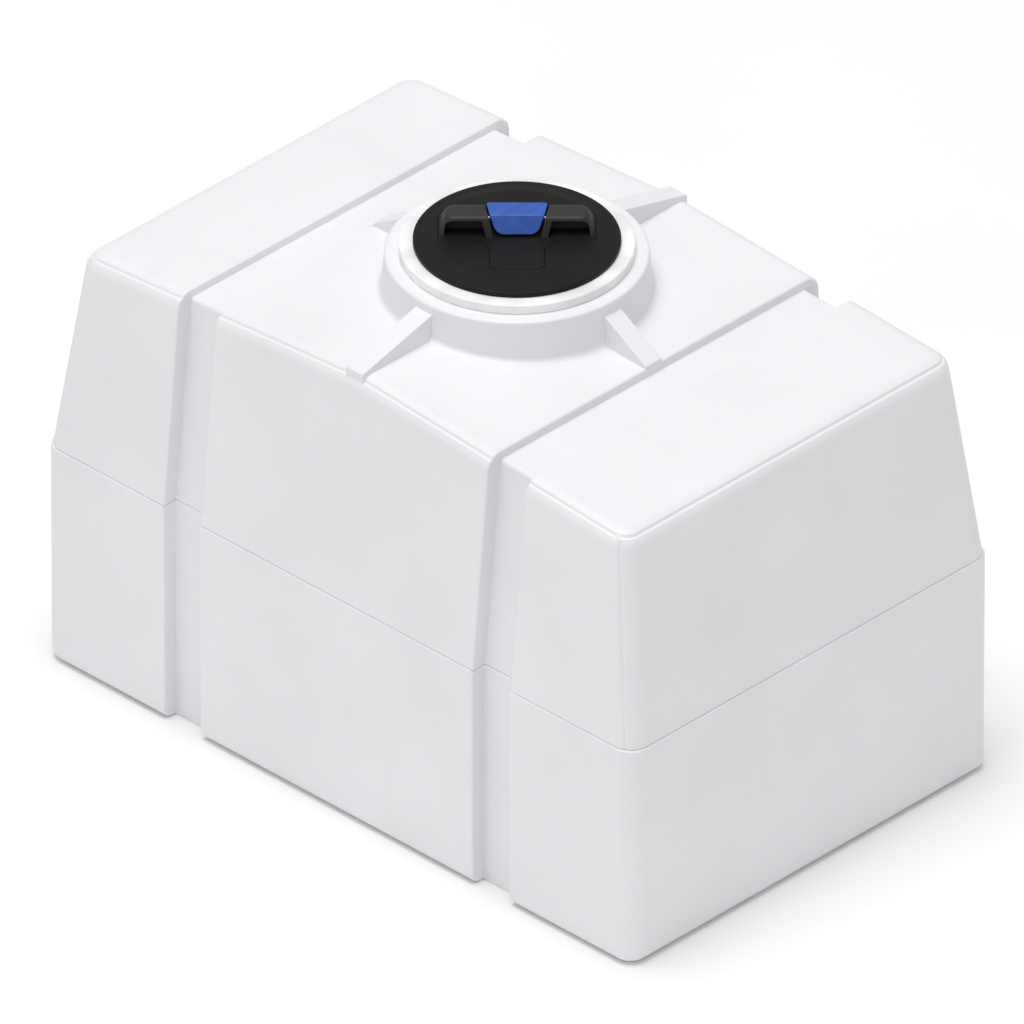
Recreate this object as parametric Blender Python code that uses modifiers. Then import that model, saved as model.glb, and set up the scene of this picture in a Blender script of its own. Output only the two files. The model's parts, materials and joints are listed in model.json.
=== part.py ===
"""Fresh water tank: a hollow roto-moulded tank with two strap grooves and a round manway,
closed by a black quarter-turn lid whose grip holds a sprung blue release paddle.

Metres, +Z up. X is the tank's length, Y its width. The origin is on the floor under the tank's middle.
The lid's pieces are laid out in the lid's own frame, where X runs along the grip and -Y is the grip's
front. One empty turns that frame about the manway's axis.
"""

from math import cos, pi, radians, sin

import bmesh
import bpy
from mathutils import Matrix, Vector

# Tank
LENGTH = 0.822
WIDTH = 0.520
PARTING_Z = 0.254  # where the mould's halves meet
EAVES_Z = 0.485  # top edge at both ends
RIDGE_Z = 0.510  # top edge across the middle
END_TAPER = 0.030  # how far the upper half draws in at each end
SIDE_TAPER = 0.022  # and at the front and the back
WALL = 0.006
CORNER_R = 0.018
TOP_EDGE_R = 0.009
BOTTOM_EDGE_R = 0.013

# Strap grooves
GROOVE_X = 0.2155  # middle of each groove
GROOVE_WIDTH = 0.050
GROOVE_SIDE_DEPTH = 0.0175
GROOVE_TOP_DEPTH = 0.0125

# Manway neck and its four gussets
NECK_FOOT_R = 0.138
NECK_BASE_R = 0.141  # where its cone ends, inside the roof
NECK_TOP_R = 0.1325
NECK_TOP_Z = 0.548
NECK_BORE_R = 0.099
GUSSET_WIDTH = 0.023
GUSSET_DROP = 0.007  # how far below the neck's top a gusset starts
GUSSET_TOE = 0.003  # its height at the outer end

# Manway ring, fixed in the neck
RING_R = 0.118
RING_TOP_Z = 0.5585
RING_BORE_R = 0.092
RING_SKIRT_R = 0.113  # the part of it that stands on the neck
RING_GASKET_DEPTH = 0.0018
RING_GASKET_THICK = 0.0015
RIB_ROOT_R = 0.095  # lugs, stops and catch start inside the ring's wall
STOP_DROP = 0.010
CATCH_R = 0.0855
RING_FOOT_Z = 0.510
RING_LUG_R = 0.0845
RING_LUG_LOW_Z = 0.524
RING_LUG_HIGH_Z = 0.530
LUG_COUNT = 4
RING_LUG_ANGLE = radians(34)
LID_LUG_ANGLE = radians(38)
STOP_TURN = radians(-67.5)  # from a lid lug at rest to the stop that it is turned towards
CATCH_TURN = radians(-52.5)  # from the bolt at rest to the rib that it snaps behind

# Lid
LID_FRAME_TURN = radians(44.2)
LID_R = 0.104
LID_RIM_Z = 0.5645
LID_CROWN_Z = 0.5665
LID_UNDER_Z = 0.5588
PLUG_R = 0.083
PLUG_WALL = 0.0035
PLUG_FLOOR_Z = 0.514
PLUG_TOP_Z = 0.5585
GASKET_INNER_R = 0.0945
GASKET_OUTER_R = 0.0990

# Grip, in the lid's frame
GRIP_HALF = 0.079
GRIP_FRONT_Y = -0.006
GRIP_BACK_Y = 0.044
GRIP_TOP_Z = 0.5870
GRIP_TOP_HALF = 0.0715
GRIP_TOP_FRONT_Y = 0.0005
GRIP_TOP_BACK_Y = 0.0245
GRIP_PLATE_Z = 0.5638  # underside of the grip's inlaid plate
GRIP_FLOOR_Z = 0.5667  # its upper side
GRIP_CORNER_R = 0.0095
GRIP_RIM_R = 0.003
TONGUE_HALF = 0.0275
TONGUE_Y = -0.063
TONGUE_SWEEP_R = 0.026
TONGUE_TIP_R = 0.007
GRIP_END_R = 0.008
POCKET_NEAR_X = 0.0395
POCKET_FAR_X = 0.0715
POCKET_FRONT_Y = -0.030
POCKET_BACK_Y = 0.014
POCKET_EDGE_R = 0.006
POCKET_ROOF = 0.0045
PADDLE_BAY_HALF = 0.0335

# Paddle and latch bolt, in the lid's frame
PADDLE_TOP_Z = 0.5880
PADDLE_THICK = 0.0030
PADDLE_BACK_Y = 0.0268
PADDLE_CREASE_Y = 0.0030
PADDLE_TOE_Y = -0.0050
PADDLE_TOE_Z = 0.5700
PADDLE_BACK_HALF = 0.0308
PADDLE_CREASE_HALF = 0.0268
PADDLE_TOE_HALF = 0.0208
PADDLE_BOSS_R = 0.0040
BLADE_HALF = 0.005
BLADE_FOOT_Z = 0.5415
PIN_Y = 0.009
PIN_Z = 0.5812
PIN_R = 0.00175
BOLT_Z = 0.5440  # middle of the bolt's thickness
BOLT_HALF_THICK = 0.0030
BOLT_HALF_WIDTH = 0.0080
BOLT_NOSE_Y = -0.0900
BOLT_TAIL_Y = 0.0160
SPRING_END_Y = 0.0380
GUIDE_HALF = 0.0120
VENT_X = 0.036
VENT_Y = -0.036

# Outlet, in a pocket low on the left end
OUTLET_Z = 0.060
POCKET_HALF = 0.045
POCKET_DEPTH = 0.026
OUTLET_TUBE_R = 0.016
OUTLET_BORE_R = 0.010
OUTLET_FLANGE_R = 0.024

GAP = 0.0003  # between pieces that touch
LONG = 1.0  # a cutter's length past everything

PARTS = None
CUTTERS = None


# Scene


def clear_scene():
    for thing in list(bpy.data.objects):
        bpy.data.objects.remove(thing, do_unlink=True)


def make_collection(name):
    made = bpy.data.collections.new(name)
    bpy.context.scene.collection.children.link(made)
    return made


def make_material(name, colour, roughness, metallic=0.0):
    made = bpy.data.materials.new(name)
    made.use_nodes = True
    shader = made.node_tree.nodes["Principled BSDF"]
    shader.inputs["Base Color"].default_value = (*colour, 1.0)
    shader.inputs["Roughness"].default_value = roughness
    shader.inputs["Metallic"].default_value = metallic
    made.diffuse_color = (*colour, 1.0)
    return made


# Solids


def add_solid(name, shape):
    """A new object of this bmesh, in the cutters' collection until finish_part claims it."""
    mesh = bpy.data.meshes.new(name)
    shape.to_mesh(mesh)
    shape.free()
    made = bpy.data.objects.new(name, mesh)
    made.hide_render = True
    made.display_type = "WIRE"
    CUTTERS.objects.link(made)
    return made


def finish_part(solid, material, parent=None, origin=None):
    """Makes the solid a visible part, with its origin moved to a point on its own joint's axis."""
    if origin is not None:
        solid.data.transform(Matrix.Translation(-Vector(origin)))
        solid.location = origin
    CUTTERS.objects.unlink(solid)
    PARTS.objects.link(solid)
    solid.hide_render = False
    solid.display_type = "TEXTURED"
    solid.data.materials.clear()
    solid.data.materials.append(material)
    solid.data.shade_smooth()
    solid.data.set_sharp_from_angle(angle=radians(35))
    solid.parent = parent
    return solid


def box_shape(low, high):
    low = Vector(low)
    high = Vector(high)
    shape = bmesh.new()
    bmesh.ops.create_cube(shape, size=1.0)
    size = high - low
    middle = (high + low) / 2
    for vert in shape.verts:
        vert.co = Vector(a * b for a, b in zip(vert.co, size)) + middle
    return shape


def box(name, low, high):
    return add_solid(name, box_shape(low, high))


def round_edges(shape, chosen, radius, segments):
    edges = [edge for edge in shape.edges if chosen(edge)]
    bmesh.ops.bevel(
        shape, geom=edges, offset=radius, offset_type="OFFSET", segments=segments,
        profile=0.5, affect="EDGES", clamp_overlap=False,
    )


def runs_along(edge, axis):
    way = (edge.verts[0].co - edge.verts[1].co).normalized()
    return abs(way[axis]) > 0.9


def rounded_box(name, low, high, radius, axis=2, segments=3):
    """A box whose four edges along one axis are rounded."""
    shape = box_shape(low, high)
    round_edges(shape, lambda edge: runs_along(edge, axis), radius, segments)
    return add_solid(name, shape)


def rod(name, start, end, radius, sides=24, end_radius=None):
    """A cylinder or a cone between two points."""
    start = Vector(start)
    end = Vector(end)
    shape = bmesh.new()
    bmesh.ops.create_cone(
        shape, cap_ends=True, segments=sides, radius1=radius,
        radius2=radius if end_radius is None else end_radius, depth=(end - start).length,
    )
    turn = Vector((0, 0, 1)).rotation_difference(end - start).to_matrix().to_4x4()
    shape.transform(Matrix.Translation((start + end) / 2) @ turn)
    return add_solid(name, shape)


def turned(name, profile, steps=48, ring=False):
    """A profile of (radius, z) turned about Z. It runs down its outer side; a ring's profile closes."""
    mesh = bpy.data.meshes.new(name)
    edges = [(i, i + 1) for i in range(len(profile) - 1)]
    if ring:
        edges.append((len(profile) - 1, 0))
    mesh.from_pydata([(r, 0.0, z) for r, z in profile], edges, [])
    spun = bpy.data.objects.new(name, mesh)
    CUTTERS.objects.link(spun)
    screw = spun.modifiers.new("turn", "SCREW")
    screw.steps = steps
    screw.render_steps = steps
    screw.use_merge_vertices = True
    screw.merge_threshold = 0.0001
    return as_mesh(spun)


def extruded(name, outline, low_z, high_z):
    """A flat outline of (x, y) points, filled and given its thickness along Z."""
    curve = bpy.data.curves.new(name, "CURVE")
    curve.dimensions = "2D"
    curve.fill_mode = "BOTH"
    curve.extrude = (high_z - low_z) / 2
    spline = curve.splines.new("POLY")
    spline.points.add(len(outline) - 1)
    for point, (x, y) in zip(spline.points, outline):
        point.co = (x, y, 0.0, 1.0)
    spline.use_cyclic_u = True
    flat = bpy.data.objects.new(name, curve)
    flat.location.z = (low_z + high_z) / 2
    CUTTERS.objects.link(flat)
    return as_mesh(flat)


def wire(name, points, radius):
    """Round wire through these points."""
    curve = bpy.data.curves.new(name, "CURVE")
    curve.dimensions = "3D"
    curve.bevel_depth = radius
    curve.bevel_resolution = 1
    curve.use_fill_caps = True
    spline = curve.splines.new("POLY")
    spline.points.add(len(points) - 1)
    for point, place in zip(spline.points, points):
        point.co = (*place, 1.0)
    line = bpy.data.objects.new(name, curve)
    CUTTERS.objects.link(line)
    return as_mesh(line)


def as_mesh(source):
    """Freezes a curve or a modifier stack into one welded mesh object."""
    bpy.context.view_layer.update()
    graph = bpy.context.evaluated_depsgraph_get()
    mesh = bpy.data.meshes.new_from_object(source.evaluated_get(graph))
    mesh.transform(source.matrix_world)
    name = source.name
    bpy.data.objects.remove(source, do_unlink=True)
    shape = bmesh.new()
    shape.from_mesh(mesh)
    bpy.data.meshes.remove(mesh)
    bmesh.ops.remove_doubles(shape, verts=shape.verts, dist=0.00001)
    return add_solid(name, shape)


def combine(solid, operation, others):
    for other in others:
        step = solid.modifiers.new(operation.lower(), "BOOLEAN")
        step.operation = operation
        step.solver = "EXACT"
        step.object = other
    return solid


def cut(solid, *others):
    return combine(solid, "DIFFERENCE", others)


def join(solid, *others):
    return combine(solid, "UNION", others)


def ring_sector(name, inner, outer, low_z, high_z, middle, width, steps=6):
    """Part of a flat ring, between two radii and about one direction."""
    angles = [middle - width / 2 + width * i / steps for i in range(steps + 1)]
    outline = [(outer * cos(a), outer * sin(a)) for a in angles]
    outline += [(inner * cos(a), inner * sin(a)) for a in reversed(angles)]
    return extruded(name, outline, low_z, high_z)


# Tank


def roof_z(x):
    """Height of the roof's plane at x, without its rounded edge."""
    end = LENGTH / 2 - END_TAPER
    return RIDGE_Z - (RIDGE_Z - EAVES_Z) * abs(x) / end


def resize(verts, half_x, half_y, z):
    for vert in verts:
        vert.co.x = half_x if vert.co.x > 0 else -half_x
        vert.co.y = half_y if vert.co.y > 0 else -half_y
        vert.co.z = z


def body_shape(side, end, top, bottom_z, corner, top_r, bottom_r, segments=4):
    """The tank's outer form drawn in by side, end and top: straight below the parting, tapered above."""
    half_x = LENGTH / 2 - end
    half_y = WIDTH / 2 - side
    shape = box_shape((-half_x, -half_y, bottom_z), (half_x, half_y, PARTING_Z))
    upper = max(shape.faces, key=lambda face: face.calc_center_median().z)
    moved = bmesh.ops.extrude_face_region(shape, geom=[upper])["geom"]
    bmesh.ops.delete(shape, geom=[upper], context="FACES_ONLY")
    verts = [item for item in moved if isinstance(item, bmesh.types.BMVert)]
    resize(verts, half_x - END_TAPER, half_y - SIDE_TAPER, EAVES_Z - top)
    bmesh.ops.bisect_plane(
        shape, geom=shape.verts[:] + shape.edges[:] + shape.faces[:],
        plane_co=(0, 0, 0), plane_no=(1, 0, 0),
    )
    for vert in shape.verts:
        if abs(vert.co.x) < 1e-6 and vert.co.z > EAVES_Z - top - 1e-6:
            vert.co.z = RIDGE_Z - top
    round_edges(shape, is_upright, corner, segments)
    if top_r:
        round_edges(shape, lambda edge: on_rim(edge, 1), top_r, 3)
    if bottom_r:
        round_edges(shape, lambda edge: on_rim(edge, -1), bottom_r, 3)
    return shape


def is_upright(edge):
    """A corner edge: it climbs, and it isn't in the cut across the middle."""
    a, b = edge.verts
    climbs = abs(a.co.z - b.co.z) > 0.5 * (a.co - b.co).length
    return climbs and abs(a.co.x) > 0.1 and abs(b.co.x) > 0.1


def on_rim(edge, way):
    """Between a wall and the roof (way 1) or the floor (way -1)."""
    if len(edge.link_faces) != 2:
        return False
    slopes = sorted(way * face.normal.z for face in edge.link_faces)
    return slopes[0] < 0.5 and slopes[1] > 0.9


def upright_body(name, **sizes):
    shape = body_shape(**sizes)
    bmesh.ops.recalc_face_normals(shape, faces=shape.faces)
    return add_solid(name, shape)


def groove_band(name, middle, width, extra):
    """What a strap groove takes out: a slab across the tank, less the core that stays."""
    low = (middle - width / 2, -LONG / 2, -LONG / 4)
    high = (middle + width / 2, LONG / 2, LONG)
    slab = box(name, low, high)
    core = upright_body(
        name + "_core", side=GROOVE_SIDE_DEPTH + extra, end=0.0, top=GROOVE_TOP_DEPTH + extra,
        bottom_z=-LONG / 3, corner=CORNER_R, top_r=TOP_EDGE_R, bottom_r=0.0,
    )
    return as_mesh(cut(slab, core))


def outlet_pocket(name, extra):
    low = (-LONG, -POCKET_HALF - extra, OUTLET_Z - POCKET_HALF + BOTTOM_EDGE_R - extra)
    high = (
        -LENGTH / 2 + POCKET_DEPTH + extra,
        POCKET_HALF + extra,
        OUTLET_Z + POCKET_HALF + extra,
    )
    return rounded_box(name, low, high, 0.010 + extra, axis=0)


def gusset(name, turn, outer, outer_roof):
    """A rib that falls from the neck to the roof's edge or a groove's edge."""
    shape = box_shape(
        (NECK_TOP_R - 0.010, -GUSSET_WIDTH / 2, EAVES_Z - 0.030),
        (outer, GUSSET_WIDTH / 2, NECK_TOP_Z - GUSSET_DROP),
    )
    for vert in shape.verts:
        if vert.co.x > outer - 1e-6 and vert.co.z > EAVES_Z:
            vert.co.z = outer_roof + GUSSET_TOE
    shape.transform(Matrix.Rotation(turn, 4, "Z"))
    return add_solid(name, shape)


def tank_cavity():
    """The space inside the tank: the outer form less its wall, less what the grooves push inwards."""
    inside = upright_body(
        "cavity", side=WALL, end=WALL, top=WALL, bottom_z=WALL,
        corner=CORNER_R - WALL, top_r=TOP_EDGE_R - WALL, bottom_r=BOTTOM_EDGE_R - WALL,
    )
    for side in (-1, 1):
        band = groove_band(
            f"inner_band_{side}", side * GROOVE_X, GROOVE_WIDTH + 2 * WALL, WALL
        )
        cut(inside, band)
    cut(inside, outlet_pocket("inner_pocket", WALL))
    inside = as_mesh(inside)
    neck = rod(
        "neck_space", (0, 0, EAVES_Z - 0.030), (0, 0, NECK_TOP_Z - WALL), NECK_TOP_R - WALL, 64
    )
    return as_mesh(join(inside, neck))


def make_tank_shell(material):
    shell = upright_body(
        "tank_shell", side=0.0, end=0.0, top=0.0, bottom_z=0.0,
        corner=CORNER_R, top_r=TOP_EDGE_R, bottom_r=BOTTOM_EDGE_R,
    )
    for side in (-1, 1):
        cut(shell, groove_band(f"band_{side}", side * GROOVE_X, GROOVE_WIDTH, 0.0))
    neck = rod(
        "neck", (0, 0, EAVES_Z - 0.020), (0, 0, NECK_TOP_Z), NECK_BASE_R, 64, NECK_TOP_R
    )
    join(shell, neck)
    groove_edge = GROOVE_X - GROOVE_WIDTH / 2
    roof_edge = WIDTH / 2 - SIDE_TAPER - 0.003
    reaches = ((groove_edge - 0.0005, roof_z(groove_edge)), (roof_edge, RIDGE_Z))
    for i in range(4):
        outer, outer_roof = reaches[i % 2]
        join(shell, gusset(f"gusset_{i}", i * pi / 2, outer, outer_roof))
    cut(shell, outlet_pocket("pocket", 0.0), tank_cavity())
    bore = rod("neck_bore", (0, 0, EAVES_Z), (0, 0, LONG), NECK_BORE_R, 64)
    outlet_hole = rod(
        "outlet_hole", (-LONG, 0, OUTLET_Z), (-LENGTH / 2 + 0.05, 0, OUTLET_Z),
        OUTLET_TUBE_R + GAP, 32,
    )
    cut(shell, bore, outlet_hole)
    return finish_part(as_mesh(shell), material)


# Manway ring


def lug_direction(i):
    """Middle of the i-th lid lug at rest; the ring's lugs stand between them."""
    return LID_FRAME_TURN + pi / 4 + i * 2 * pi / LUG_COUNT


def make_manway_ring(material):
    foot = NECK_TOP_Z + GAP
    recess = foot + RING_GASKET_DEPTH
    skirt = NECK_BORE_R - GAP
    ring = turned(
        "manway_ring",
        (
            (RING_BORE_R, RING_TOP_Z - 0.0010),
            (RING_BORE_R + 0.0010, RING_TOP_Z),
            (RING_R - 0.0015, RING_TOP_Z),
            (RING_R, RING_TOP_Z - 0.0015),
            (RING_R, foot),
            (RING_SKIRT_R, foot),
            (RING_SKIRT_R, recess),
            (skirt, recess),
            (skirt, RING_FOOT_Z),
            (RING_BORE_R, RING_FOOT_Z),
        ),
        steps=56, ring=True,
    )
    for i in range(LUG_COUNT):
        lug = ring_sector(
            f"ring_lug_{i}", RING_LUG_R, RIB_ROOT_R, RING_LUG_LOW_Z, RING_LUG_HIGH_Z,
            lug_direction(i) + pi / LUG_COUNT, RING_LUG_ANGLE,
        )
        stop = ring_sector(
            f"ring_stop_{i}", RING_LUG_R, RIB_ROOT_R, RING_LUG_LOW_Z - STOP_DROP,
            RING_LUG_HIGH_Z, lug_direction(i) + STOP_TURN, radians(3), 1,
        )
        join(ring, lug, stop)
    catch = ring_sector(
        "bolt_catch", CATCH_R, RIB_ROOT_R, BOLT_Z - 0.004, BOLT_Z + 0.005,
        LID_FRAME_TURN - pi / 2 + CATCH_TURN, radians(2.5), 1,
    )
    join(ring, catch)
    return finish_part(as_mesh(ring), material)


def make_ring_gasket(material):
    low = NECK_TOP_Z + GAP
    high = low + RING_GASKET_THICK
    outer = RING_SKIRT_R - GAP
    profile = ((NECK_BORE_R, high), (outer, high), (outer, low), (NECK_BORE_R, low))
    return finish_part(turned("ring_gasket", profile, ring=True), material)


def make_ring_locknut(material):
    """Screwed up from inside the neck; eight ribs for a spanner."""
    high = NECK_TOP_Z - WALL - GAP
    low = high - 0.010
    inner = NECK_BORE_R + GAP
    outer = inner + 0.009
    nut = turned(
        "ring_locknut", ((inner, high), (outer + 0.004, high), (outer + 0.004, high - 0.003),
                         (outer, high - 0.003), (outer, low), (inner, low)), ring=True,
    )
    for i in range(8):
        rib = ring_sector(
            f"nut_rib_{i}", outer - 0.002, outer + 0.004, low, high - 0.002, i * pi / 4, 0.06, 1
        )
        join(nut, rib)
    return finish_part(as_mesh(nut), material)


# Outlet


def ring_along_x(name, inner, outer, low_x, high_x, sides):
    tube = rod(name, (low_x, 0, OUTLET_Z), (high_x, 0, OUTLET_Z), outer, sides)
    hole = rod(
        name + "_hole", (low_x - 0.01, 0, OUTLET_Z), (high_x + 0.01, 0, OUTLET_Z), inner, 32
    )
    return as_mesh(cut(tube, hole))


def make_outlet(plastic, rubber):
    """A through-wall fitting: flange and gasket inside the tank, lock nut outside."""
    wall_out = -LENGTH / 2 + POCKET_DEPTH
    wall_in = wall_out + WALL
    gasket_in = wall_in + GAP + 0.002
    flange = gasket_in + GAP
    mouth = -LENGTH / 2 + 0.005
    tube = rod("outlet_body", (mouth, 0, OUTLET_Z), (flange + 0.005, 0, OUTLET_Z), OUTLET_TUBE_R, 32)
    collar = rod("outlet_collar", (flange, 0, OUTLET_Z), (flange + 0.005, 0, OUTLET_Z), OUTLET_FLANGE_R, 8)
    bore = rod("outlet_bore", (-LONG, 0, OUTLET_Z), (0, 0, OUTLET_Z), OUTLET_BORE_R, 32)
    finish_part(as_mesh(cut(join(tube, collar), bore)), plastic)
    gasket = ring_along_x(
        "outlet_gasket", OUTLET_TUBE_R + GAP, OUTLET_FLANGE_R - 0.001, wall_in + GAP, gasket_in, 48
    )
    finish_part(gasket, rubber)
    nut = ring_along_x(
        "outlet_nut", OUTLET_TUBE_R + GAP, OUTLET_FLANGE_R + 0.002,
        wall_out - GAP - 0.009, wall_out - GAP, 6,
    )
    finish_part(nut, plastic)


# Lid: cover, plug, gasket


def make_lid_gasket(material):
    low = RING_TOP_Z + GAP
    high = low + 0.0024
    profile = (
        (GASKET_INNER_R, high), (GASKET_OUTER_R, high), (GASKET_OUTER_R, low), (GASKET_INNER_R, low)
    )
    return finish_part(turned("lid_gasket", profile, ring=True), material)


def arc_points(centre, radius, start, end, count):
    for i in range(count + 1):
        angle = start + (end - start) * i / count
        yield (centre[0] + radius * cos(angle), centre[1] + radius * sin(angle))


def grip_outline(inset):
    """The grip's foot and the tongue in front of it, drawn in by an inset, anticlockwise."""
    half = GRIP_HALF - inset
    back = GRIP_BACK_Y - inset
    front = GRIP_FRONT_Y - 0.002 + inset
    tongue_half = TONGUE_HALF - inset
    tongue_y = TONGUE_Y + inset
    sweep_r = TONGUE_SWEEP_R + inset
    tip_r = TONGUE_TIP_R
    end_r = GRIP_END_R
    right = [(tongue_half - tip_r, tongue_y)]
    right += arc_points((tongue_half - tip_r, tongue_y + tip_r), tip_r, -pi / 2, 0, 3)
    right += arc_points((tongue_half + sweep_r, front - sweep_r), sweep_r, pi, pi / 2, 6)
    right += [(half, front - 0.0015)]
    right += arc_points((half - end_r, back - end_r), end_r, 0, pi / 2, 4)
    left = [(-x, y) for x, y in reversed(right)]
    return right + left


def foot_window(name, low_z, high_z):
    """The slot that the paddle's foot swings in."""
    return box(name, (-0.0068, 0.0020, low_z), (0.0068, 0.0200, high_z))


def handle_screw_places():
    return [(side * x, y) for side in (-1, 1) for x, y in ((0.064, 0.021), (0.044, 0.030))]


def cover_screw_places():
    return [(0.0705 * cos(a), 0.0705 * sin(a)) for a in (pi / 4 + i * pi / 2 for i in range(4))]


def guide_screw_places():
    return [(side * 0.0165, y) for side in (-1, 1) for y in (-0.050, 0.030)]


def upright_holes(name, places, radius, low_z, high_z):
    return [
        rod(f"{name}_{i}", (x, y, low_z), (x, y, high_z), radius, 16)
        for i, (x, y) in enumerate(places)
    ]


def make_lid_cover(material, frame):
    """A domed disc, grooved below for its gasket and inlaid above with the grip."""
    cover = turned(
        "lid_cover",
        (
            (0.0, LID_CROWN_Z),
            (0.050, LID_CROWN_Z),
            (0.084, LID_CROWN_Z - 0.0004),
            (0.094, LID_RIM_Z + 0.0004),
            (LID_R - 0.0015, LID_RIM_Z - 0.0002),
            (LID_R - 0.0003, LID_RIM_Z - 0.0012),
            (LID_R, LID_RIM_Z - 0.0028),
            (LID_R - 0.0004, LID_UNDER_Z),
            (GASKET_OUTER_R + GAP, LID_UNDER_Z),
            (GASKET_OUTER_R + GAP, LID_UNDER_Z + 0.0027),
            (GASKET_INNER_R - GAP, LID_UNDER_Z + 0.0027),
            (GASKET_INNER_R - GAP, LID_UNDER_Z),
            (0.0, LID_UNDER_Z),
        ),
        steps=56,
    )
    cut(
        cover,
        extruded("grip_recess", grip_outline(0.0), GRIP_PLATE_Z - GAP, LONG),
        foot_window("cover_window", 0.0, LONG),
        *upright_holes("handle_way", handle_screw_places(), 0.0022, 0.0, LONG),
        *upright_holes("cover_pilot", cover_screw_places(), 0.0026, 0.0, LID_UNDER_Z + 0.0045),
        *upright_holes("guide_pilot", guide_screw_places(), 0.0016, 0.0, LID_UNDER_Z + 0.0038),
    )
    return finish_part(as_mesh(cover), material, frame)


def make_lid_base(material, frame):
    """The plug under the cover: a cup with four bayonet lugs, screw bosses and a vent seat."""
    inner = PLUG_R - PLUG_WALL
    floor_top = PLUG_FLOOR_Z + PLUG_WALL
    base = turned(
        "lid_base",
        (
            (0.0, floor_top), (inner, floor_top), (inner, PLUG_TOP_Z), (PLUG_R, PLUG_TOP_Z),
            (PLUG_R, PLUG_FLOOR_Z), (0.0, PLUG_FLOOR_Z),
        ),
        steps=48,
    )
    for i in range(LUG_COUNT):
        direction = lug_direction(i) - LID_FRAME_TURN
        lug = ring_sector(
            f"lid_lug_{i}", PLUG_R - 0.002, 0.0905, PLUG_FLOOR_Z + 0.002, RING_LUG_LOW_Z - 0.0006,
            direction, LID_LUG_ANGLE,
        )
        join(base, lug)
    join(base, *upright_holes("boss", cover_screw_places(), 0.0075, PLUG_FLOOR_Z + 0.001, PLUG_TOP_Z))
    seat = turned(
        "filter_seat",
        ((0.0123, 0.527), (0.0140, 0.527), (0.0140, floor_top - 0.001), (0.0123, floor_top - 0.001)),
        steps=32, ring=True,
    )
    seat.data.transform(Matrix.Translation((VENT_X, VENT_Y, 0)))
    join(base, seat)
    vents = [
        (VENT_X + 0.006 * cos(a), VENT_Y + 0.006 * sin(a)) for a in (i * pi / 2 for i in range(4))
    ]
    nose_slot = box(
        "nose_slot",
        (-BOLT_HALF_WIDTH - 0.0005, -LONG, BOLT_Z - BOLT_HALF_THICK - 0.0005),
        (BOLT_HALF_WIDTH + 0.0005, -0.060, BOLT_Z + BOLT_HALF_THICK + 0.0005),
    )
    cut(
        base,
        nose_slot,
        *upright_holes("boss_way", cover_screw_places(), 0.0027, 0.0, LONG),
        *upright_holes("boss_well", cover_screw_places(), 0.0052, 0.0, 0.543),
        *upright_holes("vent_way", vents, 0.0012, 0.0, floor_top + 0.001),
        *upright_holes("valve_way", [(VENT_X, VENT_Y)], 0.0031, 0.0, floor_top + 0.001),
    )
    return finish_part(as_mesh(base), material, frame)


def make_vent(rubber, foam, frame):
    """An umbrella valve in the plug's floor with a filter disc over it."""
    floor_top = PLUG_FLOOR_Z + PLUG_WALL
    under = PLUG_FLOOR_Z - GAP
    valve = turned(
        "vent_valve",
        (
            (0.0, floor_top + 0.0032), (0.0022, floor_top + 0.0032), (0.0040, floor_top + GAP),
            (0.0028, floor_top + GAP), (0.0028, under), (0.0088, under), (0.0095, under - 0.0008),
            (0.0050, under - 0.0024), (0.0, under - 0.0024),
        ),
        steps=24,
    )
    valve.data.transform(Matrix.Translation((VENT_X, VENT_Y, 0)))
    finish_part(valve, rubber, frame)
    disc = rod(
        "vent_filter", (VENT_X, VENT_Y, floor_top + 0.0040), (VENT_X, VENT_Y, 0.5265), 0.0120, 24
    )
    finish_part(disc, foam, frame)


# Lid: grip, paddle and latch


def grip_block():
    """The raised bar, wider at its foot than at its top."""
    foot_half = GRIP_HALF - 2 * GAP
    shape = box_shape(
        (-foot_half, GRIP_FRONT_Y, GRIP_PLATE_Z + 0.001),
        (foot_half, GRIP_BACK_Y - 2 * GAP, GRIP_TOP_Z),
    )
    for vert in shape.verts:
        if vert.co.z > GRIP_TOP_Z - 1e-6:
            vert.co.x = GRIP_TOP_HALF if vert.co.x > 0 else -GRIP_TOP_HALF
            vert.co.y = GRIP_TOP_BACK_Y if vert.co.y > 0.01 else GRIP_TOP_FRONT_Y
    round_edges(shape, lambda edge: abs(edge.verts[0].co.z - edge.verts[1].co.z) > 0.01, GRIP_CORNER_R, 4)
    round_edges(shape, lambda edge: on_rim(edge, 1), GRIP_RIM_R, 2)
    return add_solid("grip_block", shape)


def finger_pocket(side):
    """A hollow under the bar's roof, open to the front."""
    low = (POCKET_NEAR_X if side > 0 else -POCKET_FAR_X, POCKET_FRONT_Y, GRIP_FLOOR_Z - 0.0005)
    high = (POCKET_FAR_X if side > 0 else -POCKET_NEAR_X, POCKET_BACK_Y, GRIP_TOP_Z - POCKET_ROOF)
    return rounded_box(f"finger_pocket_{side}", low, high, POCKET_EDGE_R, axis=1)


def make_grip(material, frame):
    grip = extruded("grip_handle", grip_outline(GAP), GRIP_PLATE_Z, GRIP_FLOOR_Z)
    join(grip, grip_block())
    bay = box(
        "paddle_bay", (-PADDLE_BAY_HALF, -0.0305, GRIP_FLOOR_Z - 0.0005), (PADDLE_BAY_HALF, 0.0285, LONG)
    )
    pin_way = rod("pin_way", (-0.0372, PIN_Y, PIN_Z), (0.0372, PIN_Y, PIN_Z), PIN_R + 0.0001, 16)
    cut(
        grip, finger_pocket(-1), finger_pocket(1), bay, pin_way,
        foot_window("grip_window", 0.0, LONG),
        *upright_holes("handle_pilot", handle_screw_places(), 0.0018, 0.0, 0.5745),
    )
    return finish_part(as_mesh(grip), material, frame)


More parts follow.
